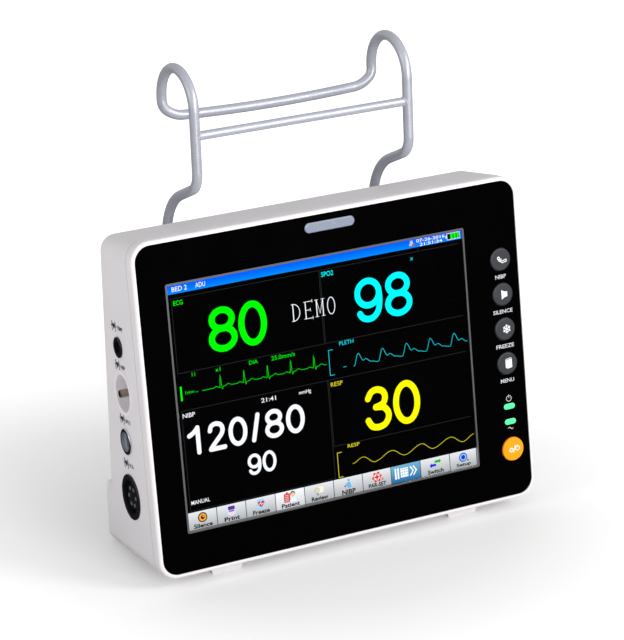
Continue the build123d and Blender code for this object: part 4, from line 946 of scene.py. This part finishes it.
def draw_plate(d):
    """Rows of plain rules in place of the small print, and a few generic signs."""
    d.line(CASE_INK, [(-33, -15), (33, -15), (33, 15), (-33, 15)], 0.35, closed=True)
    for row, (left, length) in enumerate(((0, 38), (0, 30), (0, 44), (0, 26), (0, 34))):
        v = 11 - row * 4.6
        d.line(CASE_INK, [(-29 + left, v), (-29 + left + length, v)], 0.9)
    for stripe in range(22):
        u = 19 + stripe * 0.5
        d.line(CASE_INK, [(u, 4), (u, 11)], 0.16 + 0.14 * (stripe * 7 % 3))
    d.line(CASE_INK, [(19, -11.5), (29, -11.5), (29, -3), (19, -3)], 0.4, closed=True)
    d.line(CASE_INK, [(21, -7.2), (27, -7.2)], 0.5)
    d.line(CASE_INK, [(-29, -11.6), (-10, -11.6)], 0.5)


plate = back_drawing("rating_lines", "rating_plate", 0, 0)
draw_plate(plate)
plate.finish()


def draw_ground_sign(d):
    """The equipotential sign: two arms and three bars in a ring."""
    d.ring(CASE_INK, 0, 0, 2.7, 0.35, 0, 30)
    d.line(CASE_INK, [(0, 2.2), (0, 0.2)], 0.35)
    for half, v in ((1.7, 0.2), (1.15, -0.6), (0.6, -1.4)):
        d.line(CASE_INK, [(-half, v), (half, v)], 0.35)


stud = mounts["ground_stud"]
stud_start = Vector(stud["pos_m"]) + UP * 12 * MM - OUT * 30 * MM
sign_face = wall_face("rear_cover", stud_start, OUT, UP)
ground_sign = Drawing("ground_sign", sign_face, "case", PRINTED, base=0.004)
draw_ground_sign(ground_sign)
ground_sign.finish()


# ------------------------------------------------------------------ fine metal pieces
def solid_piece(name, mesh, body, slot):
    """A smooth piece in the finish of its slot, which rides on a body."""
    data = bpy.data.meshes.new(name)
    bmesh.ops.recalc_face_normals(mesh, faces=mesh.faces[:])
    mesh.to_mesh(data)
    mesh.free()
    data.materials.append(FINISHES[slot])
    for polygon in data.polygons:
        polygon.use_smooth = True
    piece = bpy.data.objects.new(name, data)
    bpy.context.scene.collection.objects.link(piece)
    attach(piece, body)


def closed_tube(centres, outwards, radii, sides=10):
    """A closed tube through a ring of centres; outwards and the ring's own run span its section."""
    mesh = bmesh.new()
    count = len(centres)
    rings = []
    for i, (centre, out, radius) in enumerate(zip(centres, outwards, radii)):
        along = (centres[(i + 1) % count] - centres[i - 1]).normalized()
        side = along.cross(out).normalized()
        out = side.cross(along)
        turns = [2 * pi * k / sides for k in range(sides)]
        rings.append([mesh.verts.new(centre + (out * cos(t) + side * sin(t)) * radius) for t in turns])
    for i in range(count):
        ring, following = rings[i], rings[(i + 1) % count]
        for k in range(sides):
            n = (k + 1) % sides
            mesh.faces.new((ring[k], ring[n], following[n], following[k]))
    return mesh


WIRE_R, CROSSBAR_R = 2.5, 2.2   # mm, of the hook's legs and its crossbar
BEAD_R, RIPPLE = 0.5, 0.09      # mm, of the weld and of the ripples along it
RIPPLES = 16
BEAD_STEPS = 96
BEAD_STAND = 0.1                # mm, from the leg's surface to the middle of the bead


def weld_bead(name, side):
    """The rippled bead where the crossbar's end is welded to a leg."""
    low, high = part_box("hook_crossbar")
    middle = (low + high) / 2
    pivot = Vector(joints["hook_fold"]["pos_m"])
    leg_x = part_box("hook_frame")[1].x - WIRE_R * MM
    leg_run = Vector((0, middle.y - pivot.y, middle.z - pivot.z)).normalized()
    across = RIGHT.cross(leg_run)
    centres, outwards, radii = [], [], []
    for i in range(BEAD_STEPS):
        turn = 2 * pi * i / BEAD_STEPS
        radial = leg_run * cos(turn) + across * sin(turn)
        reach = (WIRE_R ** 2 - (CROSSBAR_R * sin(turn)) ** 2) ** 0.5
        x = side * (leg_x / MM - reach - BEAD_STAND) * MM
        centres.append(Vector((x, middle.y, middle.z)) + radial * CROSSBAR_R * MM)
        outwards.append((radial - RIGHT * side).normalized())
        radii.append((BEAD_R + RIPPLE * sin(turn * RIPPLES)) * MM)
    solid_piece(name, closed_tube(centres, outwards, radii), "hook", "hook_paint")


weld_bead("weld_left", -1)
weld_bead("weld_right", 1)


# ------------------------------------------------------------------ studio
TARGET = (0, 0, 0.11)       # middle of the monitor, m


def soft_light(name, place, size, power):
    """A round soft box at place, aimed at the middle of the monitor."""
    lamp = bpy.data.lights.new(name, "AREA")
    lamp.shape, lamp.size, lamp.energy = "DISK", size, power
    holder = bpy.data.objects.new(name, lamp)
    holder.location = place
    holder.rotation_mode = "QUATERNION"
    holder.rotation_quaternion = (Vector(TARGET) - Vector(place)).to_track_quat("-Z", "Y")
    bpy.context.scene.collection.objects.link(holder)


FLOOR_HALF = 4.0
PAINTED_SHADOW_GLOW, FAR_GLOW = 0.1, 0.55     # of the paper, so that it is white far off and darker close by, a painted shadow round the monitor
GLOW_START, GLOW_END = 0.1, 0.32    # m from the middle of the floor, where the glow rises out of the painted shadow
floor_mesh = bpy.data.meshes.new("floor")
corners = [(FLOOR_HALF * x, FLOOR_HALF * y, 0) for x, y in ((-1, -1), (1, -1), (1, 1), (-1, 1))]
floor_mesh.from_pydata(corners, [], [(0, 1, 2, 3)])
floor = bpy.data.objects.new("floor", floor_mesh)
bpy.context.scene.collection.objects.link(floor)
floor_finish = Shader("floor_paper_painted_shadow", Base_Color=(0.8, 0.8, 0.8, 1), Specular_IOR_Level=0.1)
floor_finish.shader.inputs["Emission Color"].default_value = (1, 1, 1, 1)
floor_finish.roughness(floor_finish.noise(40), 0.7, 0.9)
# The paper's glow grows with distance from the middle of the floor, so a painted shadow lies round the monitor's
# foot
distance = floor_finish.add("ShaderNodeVectorMath", operation="LENGTH")
floor_finish.link(floor_finish.coords, distance.inputs[0])
glow = floor_finish.spread(distance.outputs["Value"], PAINTED_SHADOW_GLOW, FAR_GLOW, GLOW_START, GLOW_END)
floor_finish.link(glow, floor_finish.shader.inputs["Emission Strength"])
floor_mesh.materials.append(floor_finish.material)
floor.visible_glossy = False
floor.visible_transmission = False

# The room is white above the horizon and dark below it, so that the glass stays black
SKY_STRENGTH = 0.58
world = bpy.data.worlds.new("studio")
bpy.context.scene.world = world
world.use_nodes = True
sky = world.node_tree
background = sky.nodes["Background"]
direction = sky.nodes.new("ShaderNodeTexCoord")
split = sky.nodes.new("ShaderNodeSeparateXYZ")
ramp = sky.nodes.new("ShaderNodeValToRGB")
ramp.color_ramp.elements[0].position = 0.46
ramp.color_ramp.elements[0].color = (0.03, 0.03, 0.033, 1)
ramp.color_ramp.elements[1].position = 0.5
ramp.color_ramp.elements[1].color = (1, 1, 1, 1)
shift = sky.nodes.new("ShaderNodeMapRange")
shift.inputs["From Min"].default_value = -1
sky.links.new(direction.outputs["Generated"], split.inputs["Vector"])
sky.links.new(split.outputs["Z"], shift.inputs["Value"])
sky.links.new(shift.outputs["Result"], ramp.inputs["Fac"])
sky.links.new(ramp.outputs["Color"], background.inputs["Color"])
background.inputs["Strength"].default_value = SKY_STRENGTH

soft_light("overhead", (0.1, -0.1, 1.9), 1.6, 1.2)
soft_light("front_right", (1.3, -1.5, 1.2), 1.0, 21)
soft_light("front", (0.3, -2.1, 0.5), 1.0, 26)
soft_light("left_fill", (-1.9, -0.2, 0.9), 1.2, 8)

LENS_MM, SENSOR_MM = 169.95, 36
CAMERA_AT = (-0.6576, -1.2435, 0.6347)
CAMERA_LOOK = (0.4385, 0.8272, -0.3513)
CAMERA_HEAD = (0.1778, 0.3033, 0.9361)
camera = bpy.data.cameras.new("camera")
camera.lens = LENS_MM
camera.sensor_width = SENSOR_MM
camera.clip_start, camera.clip_end = 0.1, 20
viewer = bpy.data.objects.new("camera", camera)
look = Vector(CAMERA_LOOK).normalized()
side_way = look.cross(Vector(CAMERA_HEAD)).normalized()
head = side_way.cross(look)
turned = Matrix((side_way, head, -look)).transposed().to_4x4()
viewer.matrix_world = Matrix.Translation(CAMERA_AT) @ turned
bpy.context.scene.collection.objects.link(viewer)
bpy.context.scene.camera = viewer
bpy.context.scene.view_settings.view_transform = "Standard"
